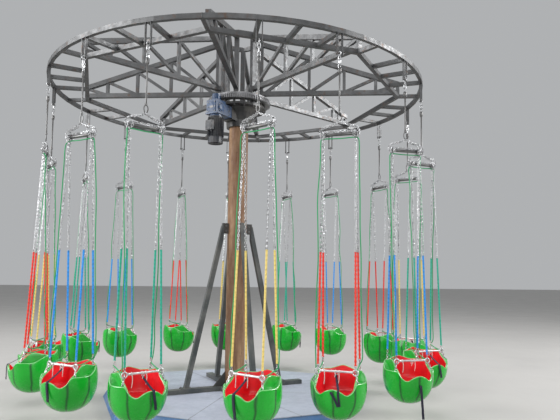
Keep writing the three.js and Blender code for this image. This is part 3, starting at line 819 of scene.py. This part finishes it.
def sleeves_mesh(tint, pitch):
    """Sleeves that the links inside press out one way and then the other."""
    shape = Shape()
    sides = 8
    ring = circle(sides)
    ovals = np.cos(2 * np.arange(sides) * 2 * math.pi / sides)
    for side in (-1, 1):
        for line, low in zip((FRONT_CHAIN, REAR_CHAIN), SLEEVE_LOW):
            steps = int((SLEEVE_TOP - low) / pitch * 2)
            rows, run = [], []
            for i in range(steps + 1):
                z = SLEEVE_TOP + (low - SLEEVE_TOP) * i / steps
                flare = 0.0016 if i in (0, steps) else 0.0
                radii = 0.0100 + flare + 0.0020 * ovals * math.cos(math.pi * i / 2)
                level = np.column_stack([ring * radii[:, None], np.zeros(sides)])
                rows.append(level + mirrored(along(line, z), side))
                run.append(SLEEVE_TOP - z)
            starts = shape.skin(rows, run)
            for end in (0, -1):
                shape.cap(starts[end], sides)
    return shape.mesh("sleeves_" + tint, ["sleeve_" + tint], 60)


def bar_mesh():
    """The spreader bar, the drop rod with its swivel, and the snap hook between them."""
    shape = Shape()
    bar_r, end_r, flat = 0.0165, 0.0132, BAR_HALF - 0.004
    lathe(shape, [(0, -BAR_HALF), (end_r, -BAR_HALF), (bar_r, -flat), (bar_r, flat), (end_r, BAR_HALF),
                  (0, BAR_HALF)], 20, (0, 0, BAR_Z), axis="x")
    lathe(shape, [(0, 3.245), (0.012, 3.247), (0.014, 3.262), (0.009, 3.275), (0.0085, 3.64), (0.013, 3.645),
                  (0.019, 3.66), (0.019, 3.70), (0.012, 3.712), (0, 3.714)], 14)
    hook = [(0, 3.245), (0.017, 3.232), (0.021, 3.205), (0.012, 3.175),
            (0, 3.168), (-0.012, 3.175), (-0.021, 3.205), (-0.017, 3.232)]
    hook = smooth_path([(x, 0, z) for x, z in hook], 3, True)
    sweep(shape, hook, 0.0055, 7, closed=True, normal=REAR)
    return shape.mesh("spreader_bar", ["dull_zinc"], 50)


def pivot_mesh():
    """What joins the rim's cross pin to the drop rod: eye, shackle and link."""
    shape = Shape()
    wire_ring(shape, (0, 0, PIVOT_Z), 0.020, 0.0075, 12, 8, ACROSS)
    link = chain_link(0.052, 0.010, 0.038)
    for i, z in enumerate((3.812, 3.768, 3.724)):
        shape.add(*link, Matrix.Translation((0, 0, z)) @ about_z(90 * (i % 2)))
    return shape.mesh("pivot", ["zinc"], 60)


def lap_bar_mesh():
    """The lap bar: a tube between two rings round the front chains, with a D-ring and cords."""
    shape = Shape()
    x, y, _ = FRONT_CHAIN[1]
    tube_r, ring_r = 0.0105, 0.026
    reach = x - ring_r
    lathe(shape, [(0, -reach), (tube_r, -reach), (tube_r, reach), (0, reach)], 14, (0, y, LAP_Z), axis="x")
    for side in (-1, 1):
        lathe(shape, [(0.0100, -0.012), (0.0125, -0.010), (0.0125, 0.010), (0.0100, 0.012)], 14,
              (side * (reach - 0.014), y, LAP_Z), axis="x")
        wire_ring(shape, (side * x, y, LAP_Z - 0.004), ring_r, 0.0062, 16, 7)
    dee = [(0.013, -0.013), (0.012, -0.028), (-0.012, -0.028), (-0.013, -0.013)]
    dee = smooth_path([(place, y, LAP_Z + rise) for place, rise in dee], 4, True)
    sweep(shape, dee, 0.0025, 6, closed=True, normal=REAR)
    for place, drop in ((-0.010, 0.05), (0.026, 0.105), (-0.112, 0.12)):
        wire_ring(shape, (place, y, LAP_Z), 0.013, 0.0036, 12, 6, ACROSS, 1)
        end = smooth_path([(place, y - 0.014, LAP_Z - 0.004), (place + 0.003, y - 0.017, LAP_Z - drop * 0.5),
                           (place - 0.004, y - 0.013, LAP_Z - drop)], 4)
        sweep(shape, end, 0.0038, 6, paint=1)
    return shape.mesh("lap_bar", ["bright_zinc", "cord"], 60)


def webbing(shape, path, wider=0.0, layers=1.0):
    """A flat belt along a path, as wide as the webbing or wider, and of one layer or more."""
    w, t = BELT_W + wider, BELT_T * layers
    sweep(shape, path, 1.0, normal=ACROSS, section=[(w, t), (w, -t), (-w, -t), (-w, t)])


def belt_mesh(index):
    """Webbing from the D-ring over the front of the seat, or from the pan through it, with a free tail."""
    tail = BELT_TAILS[index]
    lean, drift = 0.010 + 0.006 * math.cos(index * 2.4), 0.025
    if index == FORKED_BELT:
        lean, drift = FORK_REACH, 0.012
    y = FRONT_CHAIN[1][1]
    out = -SEAT_FORWARD - math.sqrt(SEAT_R ** 2 - lean ** 2)
    peak = SEAT_BOTTOM + rim_height(math.degrees(math.asin(lean / SEAT_R)))
    over = [
        (0, y + 0.006, LAP_Z - 0.024), (0, y - 0.004, LAP_Z - 0.040), (lean * 0.5, -0.195, peak + 0.045),
        (lean * 0.9, out + 0.022, peak + 0.010), (lean, out - 0.002, peak + 0.003),
        (lean, out - 0.010, peak - 0.030), (lean + 0.5 * drift, out - 0.010, peak - 0.6 * tail),
        (lean + drift, out - 0.006, peak - tail),
    ]
    if index in SLOTTED_BELTS:
        slot = peak - 0.100
        pan = SEAT_BOTTOM + PAN_H + 0.006
        over = [
            (0, -0.030, pan), (0, -0.100, pan + 0.002), (0, -0.180, pan + 0.004),
            (0, out + 0.040, slot - 0.004), (0, out + 0.012, slot), (0, out - 0.010, slot - 0.008),
            (0.4 * drift, out - 0.013, slot - 0.5 * tail), (drift, out - 0.010, slot - tail),
        ]
    shape = Shape()
    path = smooth_path(over, 6)
    webbing(shape, path)
    if index == FORKED_BELT:
        front = -SEAT_R - SEAT_FORWARD
        webbing(shape, smooth_path([
            (-0.012, front + 0.012, peak - 0.004), (-0.008, front - 0.010, peak - 0.022),
            (lean * 0.45, front - 0.012, peak - 0.070), (lean, out - 0.016, peak - tail)], 6))
    else:
        second_strand = path[22:-3] + (0.006, 0.0042, 0)
        webbing(shape, second_strand)
    webbing(shape, path[-4:], 0.001, 2.2)
    return shape.mesh("belt_%02d" % (index + 1), ["belt"], 40)


def rope_mesh(index):
    """The safety rope: under the spreader bar, down beside the chains and tied off at the seat."""
    draw = random.Random(ROPE_SEED + index)
    shape = Shape()
    legs, ties = [], []
    for side, line in ((-1, FRONT_CHAIN), (1, REAR_CHAIN)):
        leg = []
        for z in (2.93, 2.7, 2.4, 2.1, 1.8, 1.5, 1.2, 1.0, 0.86):
            belly = 0.012 * math.exp(-((z - 2.4) / 0.25) ** 2) * (1 if side < 0 else 0.4)
            out = side * (0.022 + belly + draw.uniform(0, 0.012))
            leg.append(mirrored(along(line, z), side) + (out, draw.uniform(-0.012, 0.012), 0))
        ring = mirrored(along(FRONT_CHAIN, LAP_Z + 0.012), side)
        rear = mirrored(along(REAR_CHAIN, 0.80), side)
        front_knot = ring + (side * 0.020, 0.010, 0.006)
        rear_knot = rear + (side * 0.006, 0.008, 0.01)
        legs.append(leg + [front_knot if line is FRONT_CHAIN else rear_knot])
        ties.append([front_knot, ring + (side * 0.004, 0.05, -0.004), (ring + rear) / 2 + (0, 0, -0.012),
                     rear + (0, -0.02, -0.004), rear_knot])
    under = [np.array((x, 0, z)) for x, z in ((-0.184, 2.984), (-0.152, 2.994), (0, 2.990), (0.152, 2.994),
                                              (0.184, 2.984))]
    for route in (legs[0][::-1] + under + legs[1], *ties):
        sweep(shape, smooth_path(route, 5), ROPE_R, 7)
    return shape.mesh("rope_%02d" % (index + 1), ["rope"], 60)


# Fixings

def slewing_ring_mesh():
    """The bearing's turning ring: teeth under a plain band."""
    teeth, root, tip = 96, 0.4190, 0.4300
    turns = np.array([k + share for k in range(teeth) for share in (-0.30, -0.15, 0.15, 0.30)]) / teeth
    tooth = np.array([root, tip, tip, root] * teeth)
    bore, band, mid = 0.312, 0.4175, SLEW_LOW + 0.054
    profile = ((bore, SLEW_LOW), (tooth * 0.993, SLEW_LOW), (tooth, SLEW_LOW + 0.004), (tooth, mid),
               (band, mid + 0.001), (band, SLEW_TOP - 0.003), (band - 0.003, SLEW_TOP), (bore, SLEW_TOP),
               (bore, SLEW_LOW))
    shape = Shape()
    shape.skin([around(turns * 2 * math.pi, radius, z) for radius, z in profile], range(len(profile)))
    bolt_circle(shape, 32, SLEW_BOLT_R, SLEW_TOP, 0.014, 0, paint=1)
    return shape.mesh("slewing_ring_teeth", ["bearing_steel", "dull_zinc"], 30)


def gearbox_fittings():
    """Covers, collar, plug and blank plate of the worm box, and its bolts."""
    shape = Shape()
    y, face = -DRIVE_R, -DRIVE_R - 0.088
    cover = face - 0.008
    soft_box(shape, (-0.066, cover, 3.735), (0.066, face + 0.001, 3.880), 0.003)
    soft_box(shape, (-0.030, cover - 0.0015, 3.792), (0.030, cover + 0.0005, 3.824), 0.001, paint=1)
    for x in (-0.055, 0.055):
        for z in (3.747, 3.808, 3.868):
            hex_bolt(shape, (x, cover, z), 0.010, FRONT, paint=1)
    for side in (-1, 1):
        profile = [(0.066, 0.087), (0.066, 0.096), (0.047, 0.096), (0.044, 0.104), (0.020, 0.106),
                   (0, 0.106)]
        lathe(shape, [(r, side * h) for r, h in profile], 28, (0, y, WORM_Z), axis="x")
        for k in range(6):
            turn = math.radians(60 * k + 30)
            place = (side * 0.096, y + 0.057 * math.cos(turn), WORM_Z + 0.057 * math.sin(turn))
            hex_bolt(shape, place, 0.009, (side, 0, 0), paint=1)
        for dy in (-0.080, 0.080):
            hex_bolt(shape, (side * 0.080, y + dy, GEARBOX_LOW + 0.028), 0.012, DOWN, paint=1)
        for z in (3.745, 3.800, 3.855):
            hex_bolt(shape, (side * 0.082, -0.330, z), 0.012, (side, 0, 0), paint=1)
    collar = [(0.050, 0), (0.070, 0), (0.070, 0.012), (0.060, 0.018), (0.050, 0.018)]
    lathe(shape, collar, 28, (0, y, GEARBOX_HIGH))
    hex_bolt(shape, (0.066, y - 0.066, GEARBOX_HIGH), 0.014, paint=1)
    return shape.mesh("gearbox_fittings", ["drive_paint", "dull_zinc"], 35)


def motor_fittings():
    """Cooling fins, cowl bars and the lid of the terminal box."""
    shape = Shape()
    y, top = -DRIVE_R, GEARBOX_LOW
    fins, fin_tip = 28, MOTOR_R + 0.015
    for k in range(fins):
        turn = Matrix.Translation((0, y, 0)) @ about_z(360 / fins * k)
        soft_box(shape, (-0.0015, -fin_tip, top - 0.264), (0.0015, -0.088, top - 0.024), 0.001, turn)
    for radius in (0.022, 0.038, 0.054, 0.070, 0.086):
        sweep(shape, ring_path(radius, top - MOTOR_H - 0.001) + (0, y, 0), 0.0022, 5, closed=True)
    sweep(shape, ring_path(0.0985, top - MOTOR_H + 0.078) + (0, y, 0), 0.0025, 5, closed=True)
    box = y - MOTOR_R - 0.045
    lid = box - 0.007
    soft_box(shape, (-0.054, lid, top - 0.195), (0.054, box + 0.001, top - 0.066), 0.003)
    for x in (-0.044, 0.044):
        for z in (top - 0.184, top - 0.077):
            hex_bolt(shape, (x, lid, z), 0.007, FRONT, paint=1)
    lathe(shape, [(0.011, top - 0.212), (0.014, top - 0.206), (0.014, top - 0.189), (0, top - 0.189)], 10,
          (0.020, box + 0.022, 0))
    return shape.mesh("motor_fittings", ["motor_paint", "dull_zinc"], 35)


def base_bolts():
    """Bolts of the foot beams, braces, lugs and the housing's flange."""
    shape = Shape()
    for angle in FOOT_ANGLES:
        spin = about_z(angle)
        for x in (-0.037, 0.037):
            for y in (-BRACE_FOOT_R - 0.058, -BRACE_FOOT_R + 0.048):
                hex_bolt(shape, (x, y, FOOT_TOP + PLATE), 0.013, matrix=spin)
        for side in (-1, 1):
            for z in (LUG_Z - 0.035, LUG_Z + 0.035):
                hex_bolt(shape, (side * 0.025, -0.166, z), 0.015, (side, 0, 0), spin)
            hex_bolt(shape, polar(FOOT_BOLT_R, 45 + 14 * side, FOOT_TOP), 0.018, matrix=spin)
    bolt_circle(shape, 16, FLANGE_BOLT_R, FLANGE_LOW, 0.018, 11.25, DOWN)
    return shape.mesh("base_bolts", ["dull_zinc"], 35)


def base_welds():
    """Weld beads at the column's foot, gussets and lugs."""
    shape = Shape()
    low = FOOT_TOP + 0.002
    weld(shape, ring_path(COLUMN_R + 0.0015, low, 90), 0.0055)
    for i, angle in enumerate(FOOT_ANGLES):
        spin = about_z(angle)
        for side in (-1, 1):
            gusset, lug, face = side * 0.0085, side * 0.026, -COLUMN_R - 0.001
            weld(shape, [(gusset, -0.132, low), (gusset, -0.295, low)], 0.0035, False, spin, i)
            weld(shape, [(lug, face, LUG_Z - 0.070), (lug, face, LUG_Z + 0.070)], 0.0042, False, spin, i + 4)
    return shape.mesh("base_welds", ["column_paint"], 60)


def spreader_welds():
    """Weld beads of the cage, arms and rim, and the heads of the hanger pins."""
    shape = Shape()
    upright = Matrix.Rotation(math.radians(90), 4, "X")

    def arm_top(radius):
        return ARM_TOP - ARM_DROP * (radius - ARM_ROOT) / ARM_REACH

    def square_weld(half, radius, place, seed):
        """A bead round a square end that meets an upright face."""
        weld(shape, box_path(half, half), radius, True, place @ upright, seed)

    for k in range(8):
        corner = ARM_START + 45 * k
        spin = about_z(corner)
        weld(shape, box_path(0.031, 0.031, SLEW_TOP + 0.0135, -0.300), 0.0045, True, spin, k)
        for z in (CHORD_TOP - 0.030, ARM_TOP - 0.002):
            square_weld(0.030, 0.004, spin @ Matrix.Translation((0, -0.332, z)), k + 8)
        for radius in ARM_POSTS:
            post = box_path(0.0205, 0.0205, CHORD_TOP + 0.001, -radius)
            weld(shape, post, 0.0035, True, spin, k)
            post[:, 2] = [arm_top(-y) - 0.0325 for y in post[:, 1]]
            weld(shape, post, 0.0035, True, spin, k + 16)
        for turn in (0, HANG_OFFSET, 22.5, 45 - HANG_OFFSET):
            stub = Matrix.Translation((0, RIM_W / 2 + 0.002 - HANG_R, RIM_TOP - 0.025))
            square_weld(0.0225, 0.0035, about_z(corner + turn) @ stub, k + 24)
        for turn in (-HANG_OFFSET, HANG_OFFSET):
            hanger = about_z(corner + turn)
            for side in (-1, 1):
                head = (side * (STIRRUP_HALF + 0.004), -HANG_R, PIVOT_Z)
                hex_bolt(shape, head, 0.014, (side, 0, 0), hanger, 1)
                leg = [(side * (STIRRUP_HALF - 0.005), y - HANG_R, RIM_TOP - RIM_H - 0.001)
                       for y in (-0.016, 0.016)]
                weld(shape, leg, 0.0035, False, hanger, k)
        if k % 2 == 0:
            joint = spin @ Matrix.Translation((0, -HANG_R, RIM_TOP - RIM_H / 2)) @ about_z(90) @ upright
            weld(shape, box_path(RIM_W / 2 + 0.001, RIM_H / 2 + 0.001), 0.0035, True, joint, k)
    return shape.mesh("spreader_welds", ["mill_steel", "dull_zinc"], 60)


def cage_bolts():
    """Bolts of the cage's foot ring."""
    shape = Shape()
    bolt_circle(shape, 24, CAGE_BOLT_R, SLEW_TOP + PLATE, 0.013, ARM_START + 7.5)
    return shape.mesh("cage_bolts", ["dull_zinc"], 35)


# Settings

def color_property(name, description, default):
    return FloatVectorProperty(name=name, description=description, default=default, subtype="COLOR",
                               min=0.0, max=1.0)


def length_property(name, description, default):
    return FloatProperty(name=name, description=description, default=default, subtype="DISTANCE",
                         unit="LENGTH")


class RideSeats(bpy.types.PropertyGroup):
    shell_color: color_property("Shell", "Colour of the moulded shell", (0.010, 0.41, 0.028))
    stripe_color: color_property("Stripes", "Colour of the upright stripes", (0.010, 0.070, 0.018))
    # Lighter than the shell: a painted highlight on the lip and the armrests' tops
    lip_highlight_color: color_property("Rim", "Colour of the shell's rim", (0.14, 0.52, 0.15))
    liner_color: color_property("Liner", "Colour of the red liner", (0.82, 0.014, 0.022))
    stripe_count: IntProperty(name="Stripes", description="Stripes round a shell", default=8, min=2, max=24)


class RideHangers(bpy.types.PropertyGroup):
    chain_pitch: length_property("Pitch", "Length of a chain's step", 0.021)
    chain_wire: length_property("Wire", "Thickness of a link's wire", 0.0068)
    chain_width: length_property("Width", "Width of a link over all", 0.0232)
    teal_sleeve: color_property("Teal sleeve", "Colour of the teal sleeves", (0.008, 0.38, 0.25))
    yellow_sleeve: color_property("Yellow sleeve", "Colour of the yellow sleeves", (0.78, 0.60, 0.17))
    red_sleeve: color_property("Red sleeve", "Colour of the red sleeves", (0.80, 0.03, 0.012))
    blue_sleeve: color_property("Blue sleeve", "Colour of the blue sleeves", (0.012, 0.27, 0.75))
    rope_color: color_property("Rope", "Colour of the safety rope", (0.012, 0.40, 0.13))
    belt_color: color_property("Belt", "Colour of the webbing", (0.006, 0.005, 0.030))


class RideSteel(bpy.types.PropertyGroup):
    spreader_color: color_property("Spreader", "Colour of the bare steel spreader", (0.150, 0.152, 0.155))
    column_color: color_property("Column", "Colour of the column's primer", (0.18, 0.098, 0.052))
    brace_color: color_property("Braces", "Colour of the braces and foot beams", (0.055, 0.062, 0.064))
    drive_color: color_property("Gearbox", "Colour of the gearbox", (0.003, 0.050, 0.15))
    deck_color: color_property("Deck", "Colour of the deck", (0.39, 0.42, 0.50))
    skirt_color: color_property("Skirt", "Colour of the deck's skirt", (0.042, 0.17, 0.43))


class RideStage(bpy.types.PropertyGroup):
    floor_color: color_property("Floor", "Colour of the floor", (0.43, 0.42, 0.405))
    focal_length: FloatProperty(name="Focal length", description="Focal length of the camera in millimetres",
                                default=35.32, min=10, max=200)
    camera_height: length_property("Eye height", "Height of the camera", 1.657)
    camera_distance: length_property("Distance", "Distance from the camera to the column", 7.497)


# Stage

# Each lamp's place, what it is aimed at, its width and its power in watts
LAMPS = {
    "roof": ((0, 1, 13), (0, 0, 1.5), 12, 1000),
    "left": ((-14, -4, 8), (0, 0, 2), 12, 2400),
    "right": ((14, -1.5, 8.5), (0, 0, 2), 6, 1700),
    "front": ((1, -16, 5), (0, 0, 1.6), 9, 620),
}
CAMERA_YAW, CAMERA_PITCH, CAMERA_ROLL = (math.radians(a) for a in (4.49, 4.65, 0.64))
CAMERA_SHIFT = 0.0341


def lay_floor(scene):
    """A wide floor just below the ride."""
    shape = Shape()
    half, below = 60, 0.002
    corners = [(-half, -half), (half, -half), (half, half), (-half, half)]
    shape.add([(x, y, -below) for x, y in corners], [[0, 1, 2, 3]])
    floor = bpy.data.objects.new("floor", shape.mesh("floor", ["floor"], 40))
    scene.collection.objects.link(floor)


def light(scene):
    """A soft grey world, and round lamps above and around the ride."""
    world = bpy.data.worlds.new("studio")
    scene.world = world
    world.use_nodes = True
    world.node_tree.nodes["Background"].inputs["Color"].default_value = (0.86, 0.88, 0.90, 1)
    world.node_tree.nodes["Background"].inputs["Strength"].default_value = 0.50
    for name, (place, aim, width, power) in LAMPS.items():
        data = bpy.data.lights.new(name, "AREA")
        data.shape, data.size, data.energy = "DISK", width, power
        lamp = bpy.data.objects.new(name, data)
        lamp.location = place
        lamp.rotation_euler = (Vector(aim) - Vector(place)).to_track_quat("-Z", "Y").to_euler()
        scene.collection.objects.link(lamp)


def set_camera(scene, stage):
    """The photograph's own view: ahead comes from yaw and pitch, and roll tilts the picture."""
    lens = bpy.data.cameras.new("camera")
    lens.sensor_width, lens.lens, lens.shift_y = 36.0, stage.focal_length, CAMERA_SHIFT
    camera = bpy.data.objects.new("camera", lens)
    level = Vector((math.cos(CAMERA_YAW), -math.sin(CAMERA_YAW), 0))
    ahead = Vector((math.sin(CAMERA_YAW) * math.cos(CAMERA_PITCH),
                    math.cos(CAMERA_YAW) * math.cos(CAMERA_PITCH), math.sin(CAMERA_PITCH)))
    above = level.cross(ahead)
    right = math.cos(CAMERA_ROLL) * level + math.sin(CAMERA_ROLL) * above
    up = math.cos(CAMERA_ROLL) * above - math.sin(CAMERA_ROLL) * level
    turn = Matrix((right, up, -ahead)).transposed().to_4x4()
    camera.matrix_world = Matrix.Translation((0, -stage.camera_distance, stage.camera_height)) @ turn
    scene.collection.objects.link(camera)
    scene.camera = camera
    scene.view_settings.view_transform = "Standard"


# Operators

class RIDE_OT_seats(bpy.types.Operator):
    """Builds the sixteen seat shells with their red tubs"""

    bl_idname = "ride.seats"
    bl_label = "Seats"

    def execute(self, context):
        shell = seat_shell()
        for chair in CHAIRS:
            hang("shell_", shell, chair, ["seat_" + chair.number])
        return {"FINISHED"}


class RIDE_OT_chains(bpy.types.Operator):
    """Hangs each seat's chains, spreader bar, drop rod and pivot"""

    bl_idname = "ride.chains"
    bl_label = "Chains"

    def execute(self, context):
        chains, bar, pivot = chains_mesh(context.scene.ride_hangers), bar_mesh(), pivot_mesh()
        for chair in CHAIRS:
            hang("chains_", chains, chair, ["suspension_" + chair.number])
            hang("spreader_bar_", bar, chair)
            put("pivot_" + chair.number, pivot, chair.body, chair.radial)
        return {"FINISHED"}


class RIDE_OT_sleeves(bpy.types.Operator):
    """Draws the coloured sleeves over the lower chains"""

    bl_idname = "ride.sleeves"
    bl_label = "Sleeves"

    def execute(self, context):
        pitch = context.scene.ride_hangers.chain_pitch
        meshes = [sleeves_mesh(tint, pitch) for tint in SLEEVE_ORDER]
        for chair in CHAIRS:
            hang("sleeves_", meshes[chair.index % len(meshes)], chair)
        return {"FINISHED"}


class RIDE_OT_restraints(bpy.types.Operator):
    """Fits the lap bars, belts and safety ropes"""

    bl_idname = "ride.restraints"
    bl_label = "Restraints"

    def execute(self, context):
        lap_bar = lap_bar_mesh()
        for chair in CHAIRS:
            hang("lap_bar_", lap_bar, chair)
            hang("belt_", belt_mesh(chair.index), chair)
            hang("rope_", rope_mesh(chair.index), chair)
        return {"FINISHED"}


class RIDE_OT_base(bpy.types.Operator):
    """Finishes the deck, skirt, foot beams, column and braces"""

    bl_idname = "ride.base"
    bl_label = "Base"

    def execute(self, context):
        dress("deck", "deck_paint", bevel=0.002)
        dress("deck_skirt", "skirt_paint", bevel=0.002)
        dress("foot_cross", "dark_paint", bevel=0.004)
        dress("column", "column_paint")
        for i in range(1, 5):
            dress("brace_%d" % i, "dark_paint", bevel=0.004)
        put("base_bolts", base_bolts(), "base")
        put("base_welds", base_welds(), "base")
        return {"FINISHED"}


class RIDE_OT_hub(bpy.types.Operator):
    """Finishes the bearing housing, drive, slewing ring and cage"""

    bl_idname = "ride.hub"
    bl_label = "Hub"

    def execute(self, context):
        dress("bearing_housing", "black_paint")
        dress("gearbox", "drive_paint", bevel=0.008)
        dress("motor", "motor_paint")
        dress("hub_cage", "mill_steel", bevel=0.004)
        drive = Matrix.Rotation(math.radians(DRIVE_ANGLE), 4, "Z")
        put("gearbox_fittings", gearbox_fittings(), "base", drive)
        put("motor_fittings", motor_fittings(), "base", drive)
        put("slewing_ring_teeth", slewing_ring_mesh(), "carousel",
            stands_for=["slewing_ring"])
        put("cage_bolts", cage_bolts(), "carousel")
        return {"FINISHED"}


class RIDE_OT_spreader(bpy.types.Operator):
    """Finishes the arms and the rim"""

    bl_idname = "ride.spreader"
    bl_label = "Spreader"

    def execute(self, context):
        for i in range(1, 9):
            dress("arm_%d" % i, "mill_steel", bevel=0.004)
        for i in range(1, 5):
            dress("rim_%d" % i, "mill_steel", bevel=0.003)
        put("spreader_welds", spreader_welds(), "carousel")
        return {"FINISHED"}


class RIDE_OT_stage(bpy.types.Operator):
    """Sets the floor, the light and the camera"""

    bl_idname = "ride.stage"
    bl_label = "Stage"

    def execute(self, context):
        lay_floor(context.scene)
        light(context.scene)
        set_camera(context.scene, context.scene.ride_stage)
        return {"FINISHED"}


class RIDE_PT_panel(bpy.types.Panel):
    """Lists the ride's builders and their settings"""

    bl_idname = "RIDE_PT_panel"
    bl_label = "Swing Ride"
    bl_space_type = "VIEW_3D"
    bl_region_type = "UI"
    bl_category = "Swing Ride"

    def draw(self, context):
        for operator in OPERATORS:
            self.layout.operator(operator.bl_idname)
        for key, group in GROUPS.items():
            box = self.layout.box()
            for name in group.__annotations__:
                box.prop(getattr(context.scene, key), name)


GROUPS = {"ride_seats": RideSeats, "ride_hangers": RideHangers, "ride_steel": RideSteel,
          "ride_stage": RideStage}
OPERATORS = (RIDE_OT_base, RIDE_OT_hub, RIDE_OT_spreader, RIDE_OT_seats, RIDE_OT_chains, RIDE_OT_sleeves,
             RIDE_OT_restraints, RIDE_OT_stage)


def register():
    for cls in (*GROUPS.values(), *OPERATORS, RIDE_PT_panel):
        bpy.utils.register_class(cls)
    for key, group in GROUPS.items():
        setattr(bpy.types.Scene, key, PointerProperty(type=group))


def unregister():
    for key in GROUPS:
        delattr(bpy.types.Scene, key)
    for cls in (RIDE_PT_panel, *reversed(OPERATORS), *reversed(tuple(GROUPS.values()))):
        bpy.utils.unregister_class(cls)


def main():
    register()
    for operator in OPERATORS:
        group, name = operator.bl_idname.split(".")
        getattr(getattr(bpy.ops, group), name)()
    bpy.context.view_layer.update()


if __name__ == "__main__":
    main()
